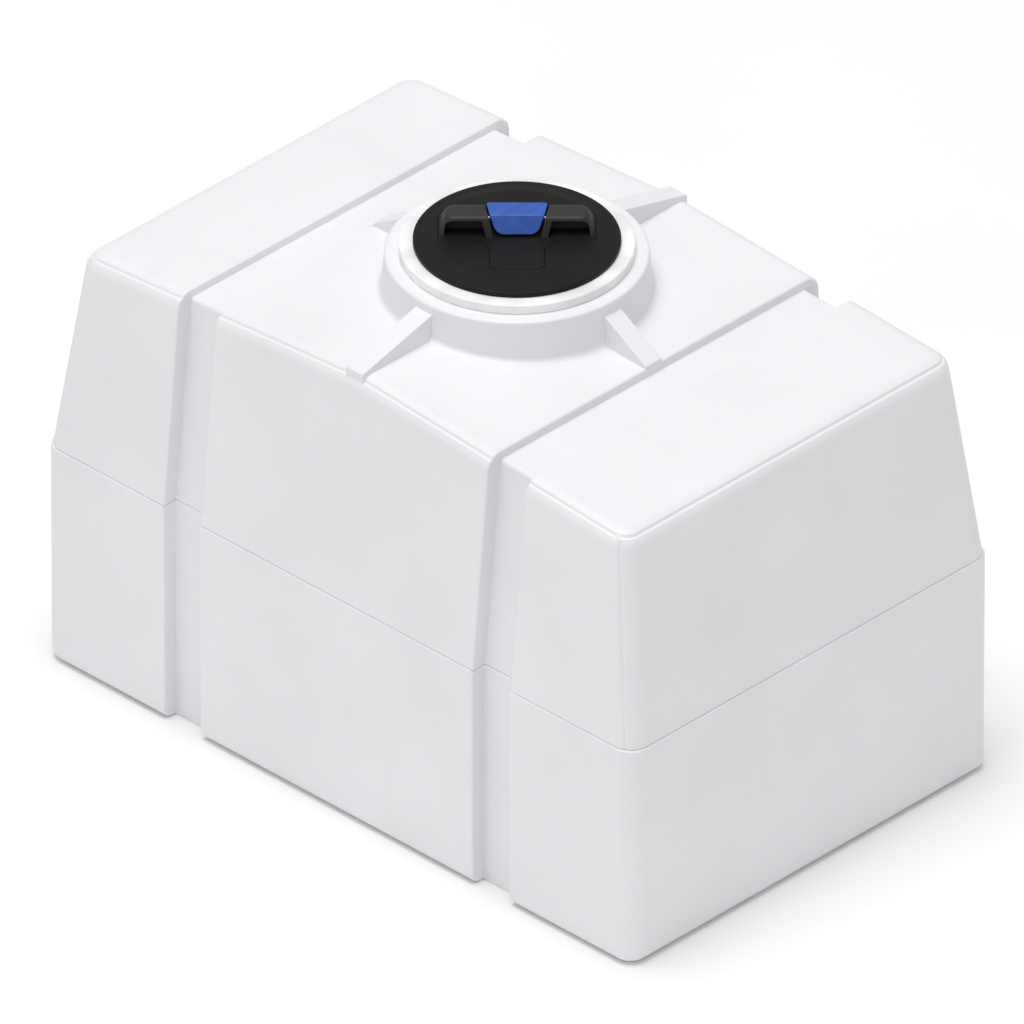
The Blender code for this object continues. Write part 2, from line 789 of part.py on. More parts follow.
def paddle_plate():
    """Top flap and front flap in one bent plate, narrower towards its foot."""
    thick = PADDLE_THICK
    crease = (PADDLE_CREASE_Y, PADDLE_TOP_Z)
    toe = (PADDLE_TOE_Y, PADDLE_TOE_Z)
    outline = (
        (PADDLE_BACK_Y, PADDLE_TOP_Z), crease, toe, (toe[0] + thick, toe[1] + 0.0004),
        (crease[0] + thick, PADDLE_TOP_Z - thick), (PADDLE_BACK_Y, PADDLE_TOP_Z - thick),
    )
    shape = bmesh.new()
    verts = [shape.verts.new((-0.5, y, z)) for y, z in outline]
    face = shape.faces.new(verts)
    moved = bmesh.ops.extrude_face_region(shape, geom=[face])["geom"]
    for item in moved:
        if isinstance(item, bmesh.types.BMVert):
            item.co.x = 0.5
    for vert in shape.verts:
        down = (PADDLE_TOP_Z - vert.co.z) / (PADDLE_TOP_Z - toe[1])
        back = max(0.0, (vert.co.y - crease[0]) / (PADDLE_BACK_Y - crease[0]))
        half = PADDLE_CREASE_HALF + (PADDLE_BACK_HALF - PADDLE_CREASE_HALF) * back
        half -= (PADDLE_CREASE_HALF - PADDLE_TOE_HALF) * down * (1 - back)
        vert.co.x = half if vert.co.x > 0 else -half
    bmesh.ops.recalc_face_normals(shape, faces=shape.faces)
    return add_solid("release_paddle", shape)


def make_paddle(material, frame):
    paddle = paddle_plate()
    blade = box(
        "paddle_blade",
        (-BLADE_HALF, PIN_Y - 0.002, BLADE_FOOT_Z), (BLADE_HALF, PIN_Y + 0.002, PIN_Z + 0.004),
    )
    join(paddle, blade)
    for low, high in ((-BLADE_HALF, BLADE_HALF), (0.0245, 0.0270), (-0.0270, -0.0245)):
        boss = rod(f"boss_{low}", (low, PIN_Y, PIN_Z), (high, PIN_Y, PIN_Z), PADDLE_BOSS_R, 16)
        join(paddle, boss)
    pin_way = rod("paddle_pin_way", (-0.05, PIN_Y, PIN_Z), (0.05, PIN_Y, PIN_Z), PIN_R + 0.0001, 16)
    cut(paddle, pin_way)
    return finish_part(as_mesh(paddle), material, frame, (0, PIN_Y, PIN_Z))


def make_paddle_pin(material, frame):
    pin = rod("paddle_pin", (-0.0368, PIN_Y, PIN_Z), (0.0368, PIN_Y, PIN_Z), PIN_R, 16)
    return finish_part(pin, material, frame)


def coil(centre, axis_start, axis_end, radius, turns, across, along, up):
    """Points of a coil: it advances along one direction and turns in the plane of the other two."""
    count = int(turns * 10)
    for i in range(count + 1):
        angle = 2 * pi * turns * i / count
        travel = axis_start + (axis_end - axis_start) * i / count
        yield (
            Vector(centre) + Vector(along) * travel
            + Vector(across) * radius * cos(angle) + Vector(up) * radius * sin(angle)
        )


def make_paddle_spring(material, frame):
    """A torsion spring on the pin, one leg under the top flap and one on the grip's floor."""
    centre = (0, PIN_Y, PIN_Z)
    turns = list(coil(centre, 0.0110, 0.0190, 0.0026, 5, (0, 1, 0), (1, 0, 0), (0, 0, 1)))
    leg_in = Vector((0.0110, PIN_Y + 0.0026, GRIP_FLOOR_Z + 0.0006))
    leg_out = Vector((0.0190, PIN_Y + 0.0150, PIN_Z + 0.0020))
    return finish_part(wire("paddle_spring", [leg_in] + turns + [leg_out], 0.0005), material, frame)


def make_bolt(material, frame):
    """A flat bolt that the paddle's foot draws inwards."""
    low_z = BOLT_Z - BOLT_HALF_THICK
    high_z = BOLT_Z + BOLT_HALF_THICK
    half = BOLT_HALF_WIDTH
    outline = [
        (-half, BOLT_TAIL_Y), (-half, BOLT_NOSE_Y + 0.003), (-half + 0.004, BOLT_NOSE_Y),
        (half - 0.004, BOLT_NOSE_Y), (half, BOLT_NOSE_Y + 0.003), (half, BOLT_TAIL_Y),
    ]
    bolt = extruded("latch_bolt", outline, low_z, high_z)
    foot_slot = box("foot_slot", (-0.0056, PIN_Y - 0.0034, 0.0), (0.0056, PIN_Y + 0.0028, LONG))
    cut(bolt, foot_slot)
    return finish_part(as_mesh(bolt), material, frame, (0, BOLT_NOSE_Y, BOLT_Z))


def make_bolt_spring(material, frame):
    turns = coil(
        (0, 0, BOLT_Z), BOLT_TAIL_Y + 0.0012, SPRING_END_Y - 0.0012, 0.0040, 6,
        (1, 0, 0), (0, 1, 0), (0, 0, 1),
    )
    return finish_part(wire("bolt_spring", list(turns), 0.0007), material, frame)


def make_bolt_guide(material, frame):
    """A channel hung under the cover: it carries the bolt and stops the spring."""
    low_z = BOLT_Z - 0.0085
    top_z = LID_UNDER_Z - GAP
    front_y = -0.0740
    back_y = SPRING_END_Y + 0.0035
    guide = box("bolt_guide", (-GUIDE_HALF, front_y, low_z), (GUIDE_HALF, back_y, top_z))
    trough = box(
        "trough", (-BOLT_HALF_WIDTH - GAP, -LONG, BOLT_Z - BOLT_HALF_THICK - GAP),
        (BOLT_HALF_WIDTH + GAP, SPRING_END_Y, LONG),
    )
    foot_well = box("foot_well", (-0.0060, 0.0030, 0.0), (0.0060, 0.0200, BOLT_Z))
    spring_well = box(
        "spring_well", (-0.0055, BOLT_TAIL_Y, BOLT_Z - 0.0050), (0.0055, SPRING_END_Y, LONG)
    )
    for i, (x, y) in enumerate(guide_screw_places()):
        ear = rounded_box(
            f"ear_{i}", (min(x, 0) - 0.0045 * (x < 0), y - 0.006, top_z - 0.003),
            (max(x, 0) + 0.0045 * (x > 0), y + 0.006, top_z), 0.003,
        )
        join(guide, ear)
    cut(
        guide, trough, foot_well, spring_well,
        *upright_holes("guide_way", guide_screw_places(), 0.0018, 0.0, LONG),
    )
    return finish_part(as_mesh(guide), material, frame)


# Screws


def make_screws(name, places, head_z, tip_z, shank_r, head_r, head_high, material, frame):
    """Pan-head screws driven up from below, each with a star-drive dimple in its head."""
    head_low = head_z - head_high
    profile = (
        (0.0, tip_z), (shank_r * 0.5, tip_z), (shank_r, tip_z - shank_r), (shank_r, head_z),
        (head_r, head_z), (head_r, head_low + head_high * 0.4), (head_r * 0.7, head_low),
        (head_r * 0.45, head_low), (head_r * 0.35, head_low + head_high * 0.45),
        (0.0, head_low + head_high * 0.45),
    )
    pattern = turned(name + "_pattern", profile, steps=16)
    for i, (x, y) in enumerate(places):
        screw = bpy.data.objects.new(f"{name}_{i + 1}", pattern.data.copy())
        CUTTERS.objects.link(screw)
        finish_part(screw, material, frame)
        screw.location = (x, y, 0.0)
    bpy.data.objects.remove(pattern, do_unlink=True)


def make_all_screws(steel, frame):
    make_screws(
        "cover_screw", cover_screw_places(), 0.543 - GAP, LID_UNDER_Z + 0.0035,
        0.0024, 0.0046, 0.0034, steel, frame,
    )
    make_screws(
        "handle_screw", handle_screw_places(), LID_UNDER_Z - GAP, 0.5735,
        0.0015, 0.0034, 0.0024, steel, frame,
    )
    make_screws(
        "guide_screw", guide_screw_places(), LID_UNDER_Z - 0.0033 - GAP, LID_UNDER_Z + 0.0030,
        0.0013, 0.0029, 0.0020, steel, frame,
    )


def main():
    global PARTS, CUTTERS
    clear_scene()
    PARTS = make_collection("fresh_water_tank")
    CUTTERS = make_collection("cutters")
    natural = make_material("natural_polyethylene", (0.83, 0.83, 0.86), 0.38)
    white = make_material("white_polypropylene", (0.86, 0.86, 0.88), 0.33)
    black = make_material("black_polypropylene", (0.030, 0.029, 0.028), 0.42)
    blue = make_material("blue_acetal", (0.045, 0.120, 0.420), 0.35)
    dark = make_material("dark_nylon", (0.060, 0.060, 0.062), 0.50)
    rubber = make_material("black_rubber", (0.020, 0.020, 0.020), 0.80)
    foam = make_material("grey_foam", (0.30, 0.30, 0.31), 0.95)
    steel = make_material("stainless_steel", (0.62, 0.62, 0.60), 0.28, 1.0)

    make_tank_shell(natural)
    make_manway_ring(white)
    make_ring_gasket(rubber)
    make_ring_locknut(white)
    make_outlet(black, rubber)

    frame = bpy.data.objects.new("lid_frame", None)
    frame.rotation_euler.z = LID_FRAME_TURN
    PARTS.objects.link(frame)
    make_lid_gasket(rubber)
    make_lid_cover(black, frame)
    make_lid_base(black, frame)
    make_vent(rubber, foam, frame)
    make_grip(black, frame)
    make_paddle(blue, frame)
    make_paddle_pin(steel, frame)
    make_paddle_spring(steel, frame)
    make_bolt(dark, frame)
    make_bolt_spring(steel, frame)
    make_bolt_guide(dark, frame)
    make_all_screws(steel, frame)


main()
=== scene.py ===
"""Fresh water tank: the visible moulding, ring, lid and grip, their materials, and a plain studio.

Metres, +Z up, in the frame of the CAD model, whose nodes stay where they are. X is the tank's length.
The lid's pieces are modelled straight, with X along the grip, and then turned about the manway's axis.
"""

import json
from contextlib import contextmanager
from math import asin, atan2, cos, degrees, pi, radians, sin, tan

import bmesh
import bpy
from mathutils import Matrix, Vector


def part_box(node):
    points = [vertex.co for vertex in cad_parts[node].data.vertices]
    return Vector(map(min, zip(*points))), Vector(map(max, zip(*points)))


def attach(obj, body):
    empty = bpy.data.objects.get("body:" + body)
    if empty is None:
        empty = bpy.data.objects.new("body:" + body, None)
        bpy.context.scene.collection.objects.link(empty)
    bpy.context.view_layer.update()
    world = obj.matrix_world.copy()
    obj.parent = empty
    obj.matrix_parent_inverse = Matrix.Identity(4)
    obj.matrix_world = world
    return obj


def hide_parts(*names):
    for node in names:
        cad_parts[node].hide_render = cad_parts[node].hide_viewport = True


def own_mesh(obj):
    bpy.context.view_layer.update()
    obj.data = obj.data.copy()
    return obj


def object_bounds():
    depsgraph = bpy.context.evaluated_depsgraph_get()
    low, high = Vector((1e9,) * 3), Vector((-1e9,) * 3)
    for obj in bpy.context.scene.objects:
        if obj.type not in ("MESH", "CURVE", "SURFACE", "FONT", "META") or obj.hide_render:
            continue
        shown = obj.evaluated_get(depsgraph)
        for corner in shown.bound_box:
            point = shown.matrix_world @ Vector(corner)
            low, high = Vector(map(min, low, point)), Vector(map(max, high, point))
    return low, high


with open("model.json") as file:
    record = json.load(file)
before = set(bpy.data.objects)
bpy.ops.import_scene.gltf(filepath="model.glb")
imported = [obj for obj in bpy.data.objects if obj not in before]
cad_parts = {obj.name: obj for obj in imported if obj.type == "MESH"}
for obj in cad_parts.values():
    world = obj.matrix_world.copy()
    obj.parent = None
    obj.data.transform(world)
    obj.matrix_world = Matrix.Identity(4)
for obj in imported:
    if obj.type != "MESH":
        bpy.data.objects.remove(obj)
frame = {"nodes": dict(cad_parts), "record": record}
CAD_LOW, CAD_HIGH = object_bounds()

bl_info = {
    "name": "Fresh Water Tank",
    "version": (1, 0, 0),
    "blender": (4, 5, 0),
    "location": "3D View > Sidebar > Water Tank",
    "description": "Builds a moulded fresh water tank with a manway lid, and a studio for it",
    "category": "Add Mesh",
}

SHELL_LOW, SHELL_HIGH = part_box("tank_shell")
RING_LOW, RING_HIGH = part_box("manway_ring")
COVER_LOW_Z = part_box("lid_cover")[0].z
GRIP_LOW_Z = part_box("grip_handle")[0].z
BOLT_Z = sum(corner.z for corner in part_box("latch_bolt")) / 2
PADDLE_LOW, PADDLE_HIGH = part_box("release_paddle")
OUTLET_LOW, OUTLET_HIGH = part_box("outlet_body")
NUT_LOW, NUT_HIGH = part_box("outlet_nut")
OUTLET_Z = (OUTLET_LOW.z + OUTLET_HIGH.z) / 2
LONG = 0.7  # a cutter's reach past everything
HAIR = 1e-5  # for telling places apart
WELD = 1e-6  # for merging points
GAP = 0.0003  # between pieces that meet

# Tank moulding
CORNER_STEPS = 12
OVERRUN = 0.02  # of the upper half below the parting, so that its roundings end clear of it
PAST_ENDS = -0.1  # for a cutter that runs past both ends
RIM_RISE = (43, 52)  # degrees above the horizon of the normals along a rim's middle
CORNER_TURN = (26.5, 33.5)  # degrees round from the front of the normals along a corner's middle
END_TURN = 26  # degrees, which tells the end rims from the side rims
BEAD_SHARES = (0.9, 0.8, 1.1)  # of the bead's depth, on the end rims, side rims and corners
CORE_RIM_R = 0.0045  # rounding of a groove's floor where it turns from a side to the roof
LEDGE_INSET, LEDGE_RISE, COLLAR_INSET, NOTCH = 0.9, 0.7, 0.8, 1.4  # shares of the parting step
COLLAR_DEPTH = 0.012
NECK_RIM_R = 0.0028
GUSSET_DROP = 0.0070  # of a gusset's top below the neck's
GUSSET_TOE = 0.0030
GUSSET_FLARE = 1.10
GUSSET_EDGE_R = 0.0011
RECESS_RISE = 0.013  # of the outlet recess's floor above a square one's
RECESS_CORNER_R, RECESS_ROOT_R, RECESS_LIP_R = 0.010, 0.004, 0.0025
OUTLET_HOLE_R = 0.0163

# Inside of the ring, where the lid's lugs and latch bolt meet it
LUG_INNER_R, CATCH_INNER_R = 0.0845, 0.0855
LUG_HEIGHT = 0.006
STOP_DROP = 0.010  # of a stop below the lugs
STOP_TURN = radians(67.5)  # from the middle of the lid's lug
CATCH_TURN = radians(52.5)  # from the bolt's place at rest

# Lid
DOME_R, SHOULDER_R, SEAT_R = 0.0830, 0.0945, 0.0942
SCREW_WAY_R, HANDLE_PILOT_R, COVER_PILOT_R, GUIDE_PILOT_R = 0.0022, 0.0018, 0.0026, 0.0016
HANDLE_PILOT_Z = 0.5745
COVER_PILOT_DEPTH, GUIDE_PILOT_DEPTH = 0.0045, 0.0038
PIN_WAY_R, PIN_WAY_HALF = 0.00185, 0.0372

# Grip, with the lid's middle at x = y = 0
BAR_STEP = 0.0006  # of the bar inside its plate
BAR_TOP_BACK_Y, BAR_TOP_FRONT_Y = 0.0245, 0.0005
ROOF = 0.0042  # thickness over the finger pockets
POCKET_OUTER, POCKET_OUTER_TOP, POCKET_INNER_TOP, POCKET_INNER = 0.0735, 0.0715, 0.0352, 0.0300
POCKET_OUTER_R, POCKET_INNER_R = 0.0085, 0.0016
POCKET_FRONT_Y, POCKET_DEPTH = -0.030, 0.0425
BAY_FRONT_Y, BAY_BACK_Y = -0.0305, 0.0285
BAY_TOP_FRONT, BAY_LOW_FRONT, BAY_LOW_BACK = 0.0230, 0.0180, 0.0295  # half widths
PLATE_EDGE_R, BAR_EDGE_R = 0.0005, 0.0006

# Paddle
FLAP_BACK_Y, FLAP_CREASE_Y = 0.0268, 0.0030
TOE_Y, TOE_Z = -0.0050, 0.5700
TOE_CORNER_R, BACK_CORNER_R, FLAP_EDGE_R = 0.0075, 0.0035, 0.0007
BLADE_HALF_X, BLADE_HALF_Y = 0.005, 0.002
BOSS_R = 0.0040


# Settings


def length(name, default, description):
    """A size that the panel shows."""
    return bpy.props.FloatProperty(
        name=name, description=description, default=default, unit="LENGTH",
    )


def hex_colour(name, default, description):
    """A colour that the panel shows, as an sRGB hex code."""
    return bpy.props.StringProperty(
        name=name, description=f"{description}, sRGB hex", default=default,
    )


class TankSizes(bpy.types.PropertyGroup):
    parting_z: length("Parting height", 0.254, "Where the mould's halves meet")
    eaves_z: length("Eaves height", 0.485, "Top edge at both ends, without its rounding")
    ridge_z: length("Ridge height", 0.510, "Top edge across the middle")
    end_taper: length("End taper", 0.030, "How far the upper half draws in at each end")
    side_taper: length("Side taper", 0.022, "How far the upper half draws in at the front and the back")
    step: length("Parting step", 0.0012, "How far the lower half stands proud of the upper one")
    lower_corner: length("Lower corner radius", 0.021, "Upright edges below the parting")
    upper_corner: length("Upper corner radius", 0.0225, "Upright edges above the parting")
    rim_radius: length("Rim radius", 0.0160, "Rounding between the walls and the roof")
    foot_radius: length("Foot radius", 0.013, "Rounding between the walls and the floor")
    bead_depth: length(
        "Bead depth", 0.0015, "Depth of the crease that splits a rounded edge into two beads",
    )
    wall: length("Wall", 0.006, "Thickness of the moulding")


class GrooveSizes(bpy.types.PropertyGroup):
    place_x: length("Groove place", 0.2155, "Middle of each strap groove from the tank's middle")
    width: length("Groove width", 0.050, "Fits 50 mm webbing")
    side_depth: length("Side depth", 0.0175, "Depth in the front and the back")
    top_depth: length("Top depth", 0.0125, "Depth in the roof")
    lip_radius: length("Lip radius", 0.0024, "Rounding of a groove's outer edges")
    root_radius: length("Root radius", 0.0010, "Fillet along a groove's floor")


class NeckSizes(bpy.types.PropertyGroup):
    foot_radius: length("Foot radius", 0.1395, "Radius of the neck at the roof")
    top_radius: length("Top radius", 0.1325, "Radius of the neck at its flange")
    fillet: length("Fillet", 0.0050, "Fillet between the neck and the roof")
    bore: length("Bore", 0.099, "Radius of the hole for the ring")
    gusset_width: length("Gusset width", 0.023, "Thickness of each gusset")
    pocket_half: length("Outlet recess", 0.045, "Half width of the recess round the outlet")


class RingSizes(bpy.types.PropertyGroup):
    bore: length("Bore", 0.092, "Radius of the way into the tank")
    radius: length("Radius", 0.118, "Radius of the ring's flange")
    skirt_radius: length("Skirt radius", 0.0987, "Outside of the part in the neck")
    lug_angle: bpy.props.FloatProperty(
        name="Lug angle", description="Length of each bayonet lug", default=radians(34),
        subtype="ANGLE",
    )
    lug_low_z: length("Lug height", 0.524, "Underside of the bayonet lugs")


class LidSizes(bpy.types.PropertyGroup):
    turn: bpy.props.FloatProperty(
        name="Turn", description="How the grip stands to the tank's length", default=radians(44.2),
        subtype="ANGLE",
    )
    radius: length("Radius", 0.104, "Radius of the lid's cover")
    rim_z: length("Rim height", 0.5645, "Top of the cover at its rim")
    crown_z: length("Crown height", 0.5665, "Top of the cover's flat middle")
    seam: length("Seam", 0.0005, "Gap round the grip's inlaid plate")


class GripSizes(bpy.types.PropertyGroup):
    half_length: length("Half length", 0.079, "Half of the grip's foot")
    top_half_length: length("Top half length", 0.0715, "Half of the grip's top")
    front_y: length("Front", -0.006, "Foot of the grip's front")
    back_y: length("Back", 0.044, "Foot of the grip's back")
    top_z: length("Top", 0.5870, "Height of the grip's top")
    corner: length("Corner radius", 0.0095, "Upright edges of the grip")
    rim: length("Rim radius", 0.0030, "Rounding of the grip's top")
    tongue_half: length("Tongue half width", 0.0275, "Half width of the tongue's tip")
    tongue_y: length("Tongue reach", -0.063, "Tip of the tongue")
    bay_half: length("Bay half width", 0.0335, "Half width of the paddle's bay")


class PaddleSizes(bpy.types.PropertyGroup):
    thick: length("Thickness", 0.0030, "Thickness of the bent flap")
    back_half: length("Back half width", 0.0308, "Half width at its back")
    crease_half: length("Crease half width", 0.0268, "Half width at its bend")
    toe_half: length("Toe half width", 0.0208, "Half width at its foot")
    pin_y: length("Pin place", 0.009, "Hinge pin, from the lid's middle")
    pin_z: length("Pin height", 0.5812, "Hinge pin's height")


class Colours(bpy.types.PropertyGroup):
    tank: hex_colour("Tank", "EDECEF", "Natural polyethylene")
    ring: hex_colour("Ring", "F3F3F5", "White polypropylene")
    lid: hex_colour("Lid", "181716", "Black polypropylene")
    grip: hex_colour("Grip", "2B2A28", "Handled black polypropylene")
    paddle: hex_colour("Paddle", "2D58B0", "Blue acetal")
    floor: hex_colour("Floor", "FDFDFD", "Studio floor")


# Modelling by hand: small helpers


def activate(piece):
    bpy.ops.object.select_all(action="DESELECT")
    piece.select_set(True)
    bpy.context.view_layer.objects.active = piece


@contextmanager
def editing(piece):
    """Edit mode on one piece, with nothing selected at first."""
    activate(piece)
    bpy.ops.object.mode_set(mode="EDIT")
    bpy.ops.mesh.select_all(action="DESELECT")
    yield
    bpy.ops.object.mode_set(mode="OBJECT")


def choose_all():
    bpy.ops.mesh.select_all(action="SELECT")


def choose(kind, test):
    """Selects the verts, edges or faces of the piece in edit mode that pass a test."""
    modes = {"verts": "VERT", "edges": "EDGE", "faces": "FACE"}
    bpy.ops.mesh.select_mode(type=modes[kind])
    bpy.ops.mesh.select_all(action="DESELECT")
    mesh = bpy.context.object.data
    shape = bmesh.from_edit_mesh(mesh)
    shape.normal_update()
    count = 0
    for item in getattr(shape, kind):
        if test(item):
            item.select_set(True)
            count += 1
    shape.select_flush_mode()
    bmesh.update_edit_mesh(mesh)
    if not count:
        raise RuntimeError(f"nothing to select on {bpy.context.object.name}")


def bevel(width, segments, profile=0.5):
    bpy.ops.mesh.bevel(
        offset_type="OFFSET", offset=width, segments=segments, profile=profile,
        affect="EDGES", clamp_overlap=False,
    )


def settle(piece):
    """Puts the piece's place, turn and scale into its mesh."""
    activate(piece)
    bpy.ops.object.transform_apply(location=True, rotation=True, scale=True)
    return piece


def add_box(name, low, high):
    low, high = Vector(low), Vector(high)
    bpy.ops.object.select_all(action="DESELECT")
    bpy.ops.mesh.primitive_cube_add(size=1.0, location=(low + high) / 2, scale=high - low)
    bpy.context.object.name = name
    return settle(bpy.context.object)


def add_rod(name, start, end, radius, sides=48, end_radius=None):
    """A cylinder or a cone between two points."""
    start, end = Vector(start), Vector(end)
    way = end - start
    bpy.ops.object.select_all(action="DESELECT")
    bpy.ops.mesh.primitive_cone_add(
        vertices=sides, radius1=radius, radius2=radius if end_radius is None else end_radius,
        depth=way.length, location=(start + end) / 2,
        rotation=Vector((0, 0, 1)).rotation_difference(way).to_euler(),
    )
    bpy.context.object.name = name
    return settle(bpy.context.object)


def rounded(corners, segments=4):
    """Points of a closed outline, given as (x, y) or (x, y, radius) corners."""
    points = []
    for i, (x, y, *radius) in enumerate(corners):
        here = Vector((x, y))
        if not radius:
            points.append(here)
            continue
        before = (Vector(corners[i - 1][:2]) - here).normalized()
        after = (Vector(corners[(i + 1) % len(corners)][:2]) - here).normalized()
        half = before.angle(after) / 2
        centre = here + (before + after).normalized() * radius[0] / sin(half)
        start = here + before * radius[0] / tan(half) - centre
        end = here + after * radius[0] / tan(half) - centre
        swing = start.angle_signed(end)
        for step in range(segments + 1):
            angle = atan2(start.y, start.x) - swing * step / segments
            points.append(centre + radius[0] * Vector((cos(angle), sin(angle))))
    return points


def trace(name, points):
    """A closed loop of edges, drawn point by point."""
    bpy.ops.object.select_all(action="DESELECT")
    bpy.ops.mesh.primitive_circle_add(vertices=3, radius=HAIR)
    piece = bpy.context.object
    piece.name = name
    with editing(piece):
        bpy.ops.mesh.select_mode(type="VERT")
        choose_all()
        bpy.ops.mesh.merge(type="CENTER")
        choose_all()
        bpy.ops.transform.translate(value=points[0])
        for start, end in zip(points, (*points[1:], points[0])):
            bpy.ops.mesh.extrude_vertices_move(
                TRANSFORM_OT_translate={"value": Vector(end) - Vector(start)}
            )
        choose_all()
        bpy.ops.mesh.remove_doubles(threshold=WELD)
    return piece


def close_up():
    """Tidies the solid in edit mode, and turns its faces outwards."""
    choose_all()
    bpy.ops.mesh.remove_doubles(threshold=WELD)
    bpy.ops.mesh.delete_loose(use_verts=True, use_edges=True, use_faces=False)
    choose_all()
    bpy.ops.mesh.normals_make_consistent(inside=False)


def turned(name, corners, steps=128, start=0.0, turn=2 * pi, segments=4):
    """A body turned about the upright axis, or a sector of one. Corners are (radius, z), and a third
    number rounds one."""
    points = [(r * cos(start), r * sin(start), z) for r, z in rounded(corners, segments)]
    piece = trace(name, points)
    with editing(piece):
        choose_all()
        bpy.ops.mesh.spin(steps=steps, angle=-turn, center=(0.0, 0.0, 0.0), axis=(0.0, 0.0, 1.0))
        choose_all()
        bpy.ops.mesh.remove_doubles(threshold=WELD)
        if turn < 2 * pi:
            choose_all()
            bpy.ops.mesh.fill_holes(sides=0)
        close_up()
    return piece


def extruded(name, points, way):
    """A flat outline pushed along a way."""
    piece = trace(name, points)
    with editing(piece):
        choose_all()
        bpy.ops.mesh.edge_face_add()
        bpy.ops.mesh.extrude_region_move(TRANSFORM_OT_translate={"value": way})
        close_up()
    return piece


def rods(name, places, low_z, high_z, radius, sides=24):
    """Upright rods at (x, y) places."""
    return [
        add_rod(f"{name}_{i}", (x, y, low_z), (x, y, high_z), radius, sides)
        for i, (x, y) in enumerate(places)
    ]


def combine(piece, operation, others):
    """Joins or cuts the piece with others, which are used up."""
    for other in others:
        activate(piece)
        step = piece.modifiers.new(operation, "BOOLEAN")
        step.operation = operation
        step.solver = "EXACT"
        step.object = other
        bpy.ops.object.modifier_apply(modifier=step.name)
        bpy.data.objects.remove(other, do_unlink=True)
    return piece


def cut(piece, *others):
    return combine(piece, "DIFFERENCE", others)


def join(piece, *others):
    return combine(piece, "UNION", others)


def is_sharp(edge, convex, least=radians(35)):
    """A clear corner of that kind between two faces."""
    if len(edge.link_faces) != 2 or edge.calc_face_angle(0.0) < least:
        return False
    return edge.is_convex == convex


def middle(edge):
    return (edge.verts[0].co + edge.verts[1].co) / 2


def smooth(piece, angle=radians(32)):
    """Smooth faces, with the flat ones' normals leading, so that roundings stay tight."""
    activate(piece)
    bpy.ops.object.shade_smooth_by_angle(angle=angle)
    step = piece.modifiers.new("normals", "WEIGHTED_NORMAL")
    step.keep_sharp = True
    step.weight = 80
    bpy.ops.object.modifier_apply(modifier=step.name)
    return piece


def turn_to_lid(piece, angle):
    """Turns a straight-built piece about the manway's axis."""
    piece.rotation_euler = (0.0, 0.0, angle)
    return settle(piece)


def finish_piece(piece, body, slot, *nodes):
    """Gives a finished piece its material slot's finish and its place on the model."""
    piece.data.materials.clear()
    piece.data.materials.append(material(slot))
    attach(piece, body)
    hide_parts(*nodes)
    return piece


# Materials


def from_hex(code):
    """An sRGB hex colour as linear RGBA."""
    parts = [int(code[i:i + 2], 16) / 255 for i in (0, 2, 4)]
    linear = [p / 12.92 if p <= 0.04045 else ((p + 0.055) / 1.055) ** 2.4 for p in parts]
    return (*linear, 1.0)


def node(tree, kind, links=None, **settings):
    """Adds one node. Settings set its sockets by name, or else its attributes; links feed its sockets."""
    made = tree.nodes.new("ShaderNode" + kind)
    for name, value in settings.items():
        if hasattr(made, name):
            setattr(made, name, value)
        else:
            made.inputs[name.replace("_", " ")].default_value = value
    for name, source in (links or {}).items():
        tree.links.new(source, made.inputs[name])
    return made


def start_material(name, roughness, metallic=0.0, **shader_values):
    """A new material with its shader's constants set. Returns it, its tree, shader and coordinates."""
    made = bpy.data.materials.new(name)
    made.use_nodes = True
    tree = made.node_tree
    shader = tree.nodes["Principled BSDF"]
    shader.inputs["Roughness"].default_value = roughness
    shader.inputs["Metallic"].default_value = metallic
    for key, value in shader_values.items():
        shader.inputs[key.replace("_", " ")].default_value = value
    place = node(tree, "TexCoord").outputs["Object"]
    return made, tree, shader, place


def per_metre(millimetres):
    """A texture's scale for features of that size."""
    return 1000.0 / millimetres


def noise(tree, place, millimetres, detail):
    """A cloudy pattern with features of that size."""
    made = node(tree, "TexNoise", {"Vector": place}, Scale=per_metre(millimetres), Detail=detail)
    return made.outputs["Fac"]


def tint(tree, shader, factor, low, high, low_at=0.35, high_at=0.65):
    """Lets a pattern lead the base colour from one colour to another."""
    ramp = node(tree, "ValToRGB", {"Fac": factor})
    ramp.color_ramp.elements[0].position = low_at
    ramp.color_ramp.elements[0].color = low
    ramp.color_ramp.elements[1].position = high_at
    ramp.color_ramp.elements[1].color = high
    tree.links.new(ramp.outputs["Color"], shader.inputs["Base Color"])


def roughen(tree, shader, factor, low, high):
    """Lets a pattern lead the roughness from one value to another."""
    spread = node(tree, "MapRange", {"Value": factor}, To_Min=low, To_Max=high)
    tree.links.new(spread.outputs["Result"], shader.inputs["Roughness"])


def bumped(tree, shader, height, distance, strength=1.0, under=None):
    links = {"Height": height}
    if under is not None:
        links["Normal"] = under
    relief = node(tree, "Bump", links, Strength=strength, Distance=distance)
    tree.links.new(relief.outputs["Normal"], shader.inputs["Normal"])
    return relief.outputs["Normal"]


def shade(colour, by):
    return (*(min(1.0, part * by) for part in colour[:3]), 1.0)


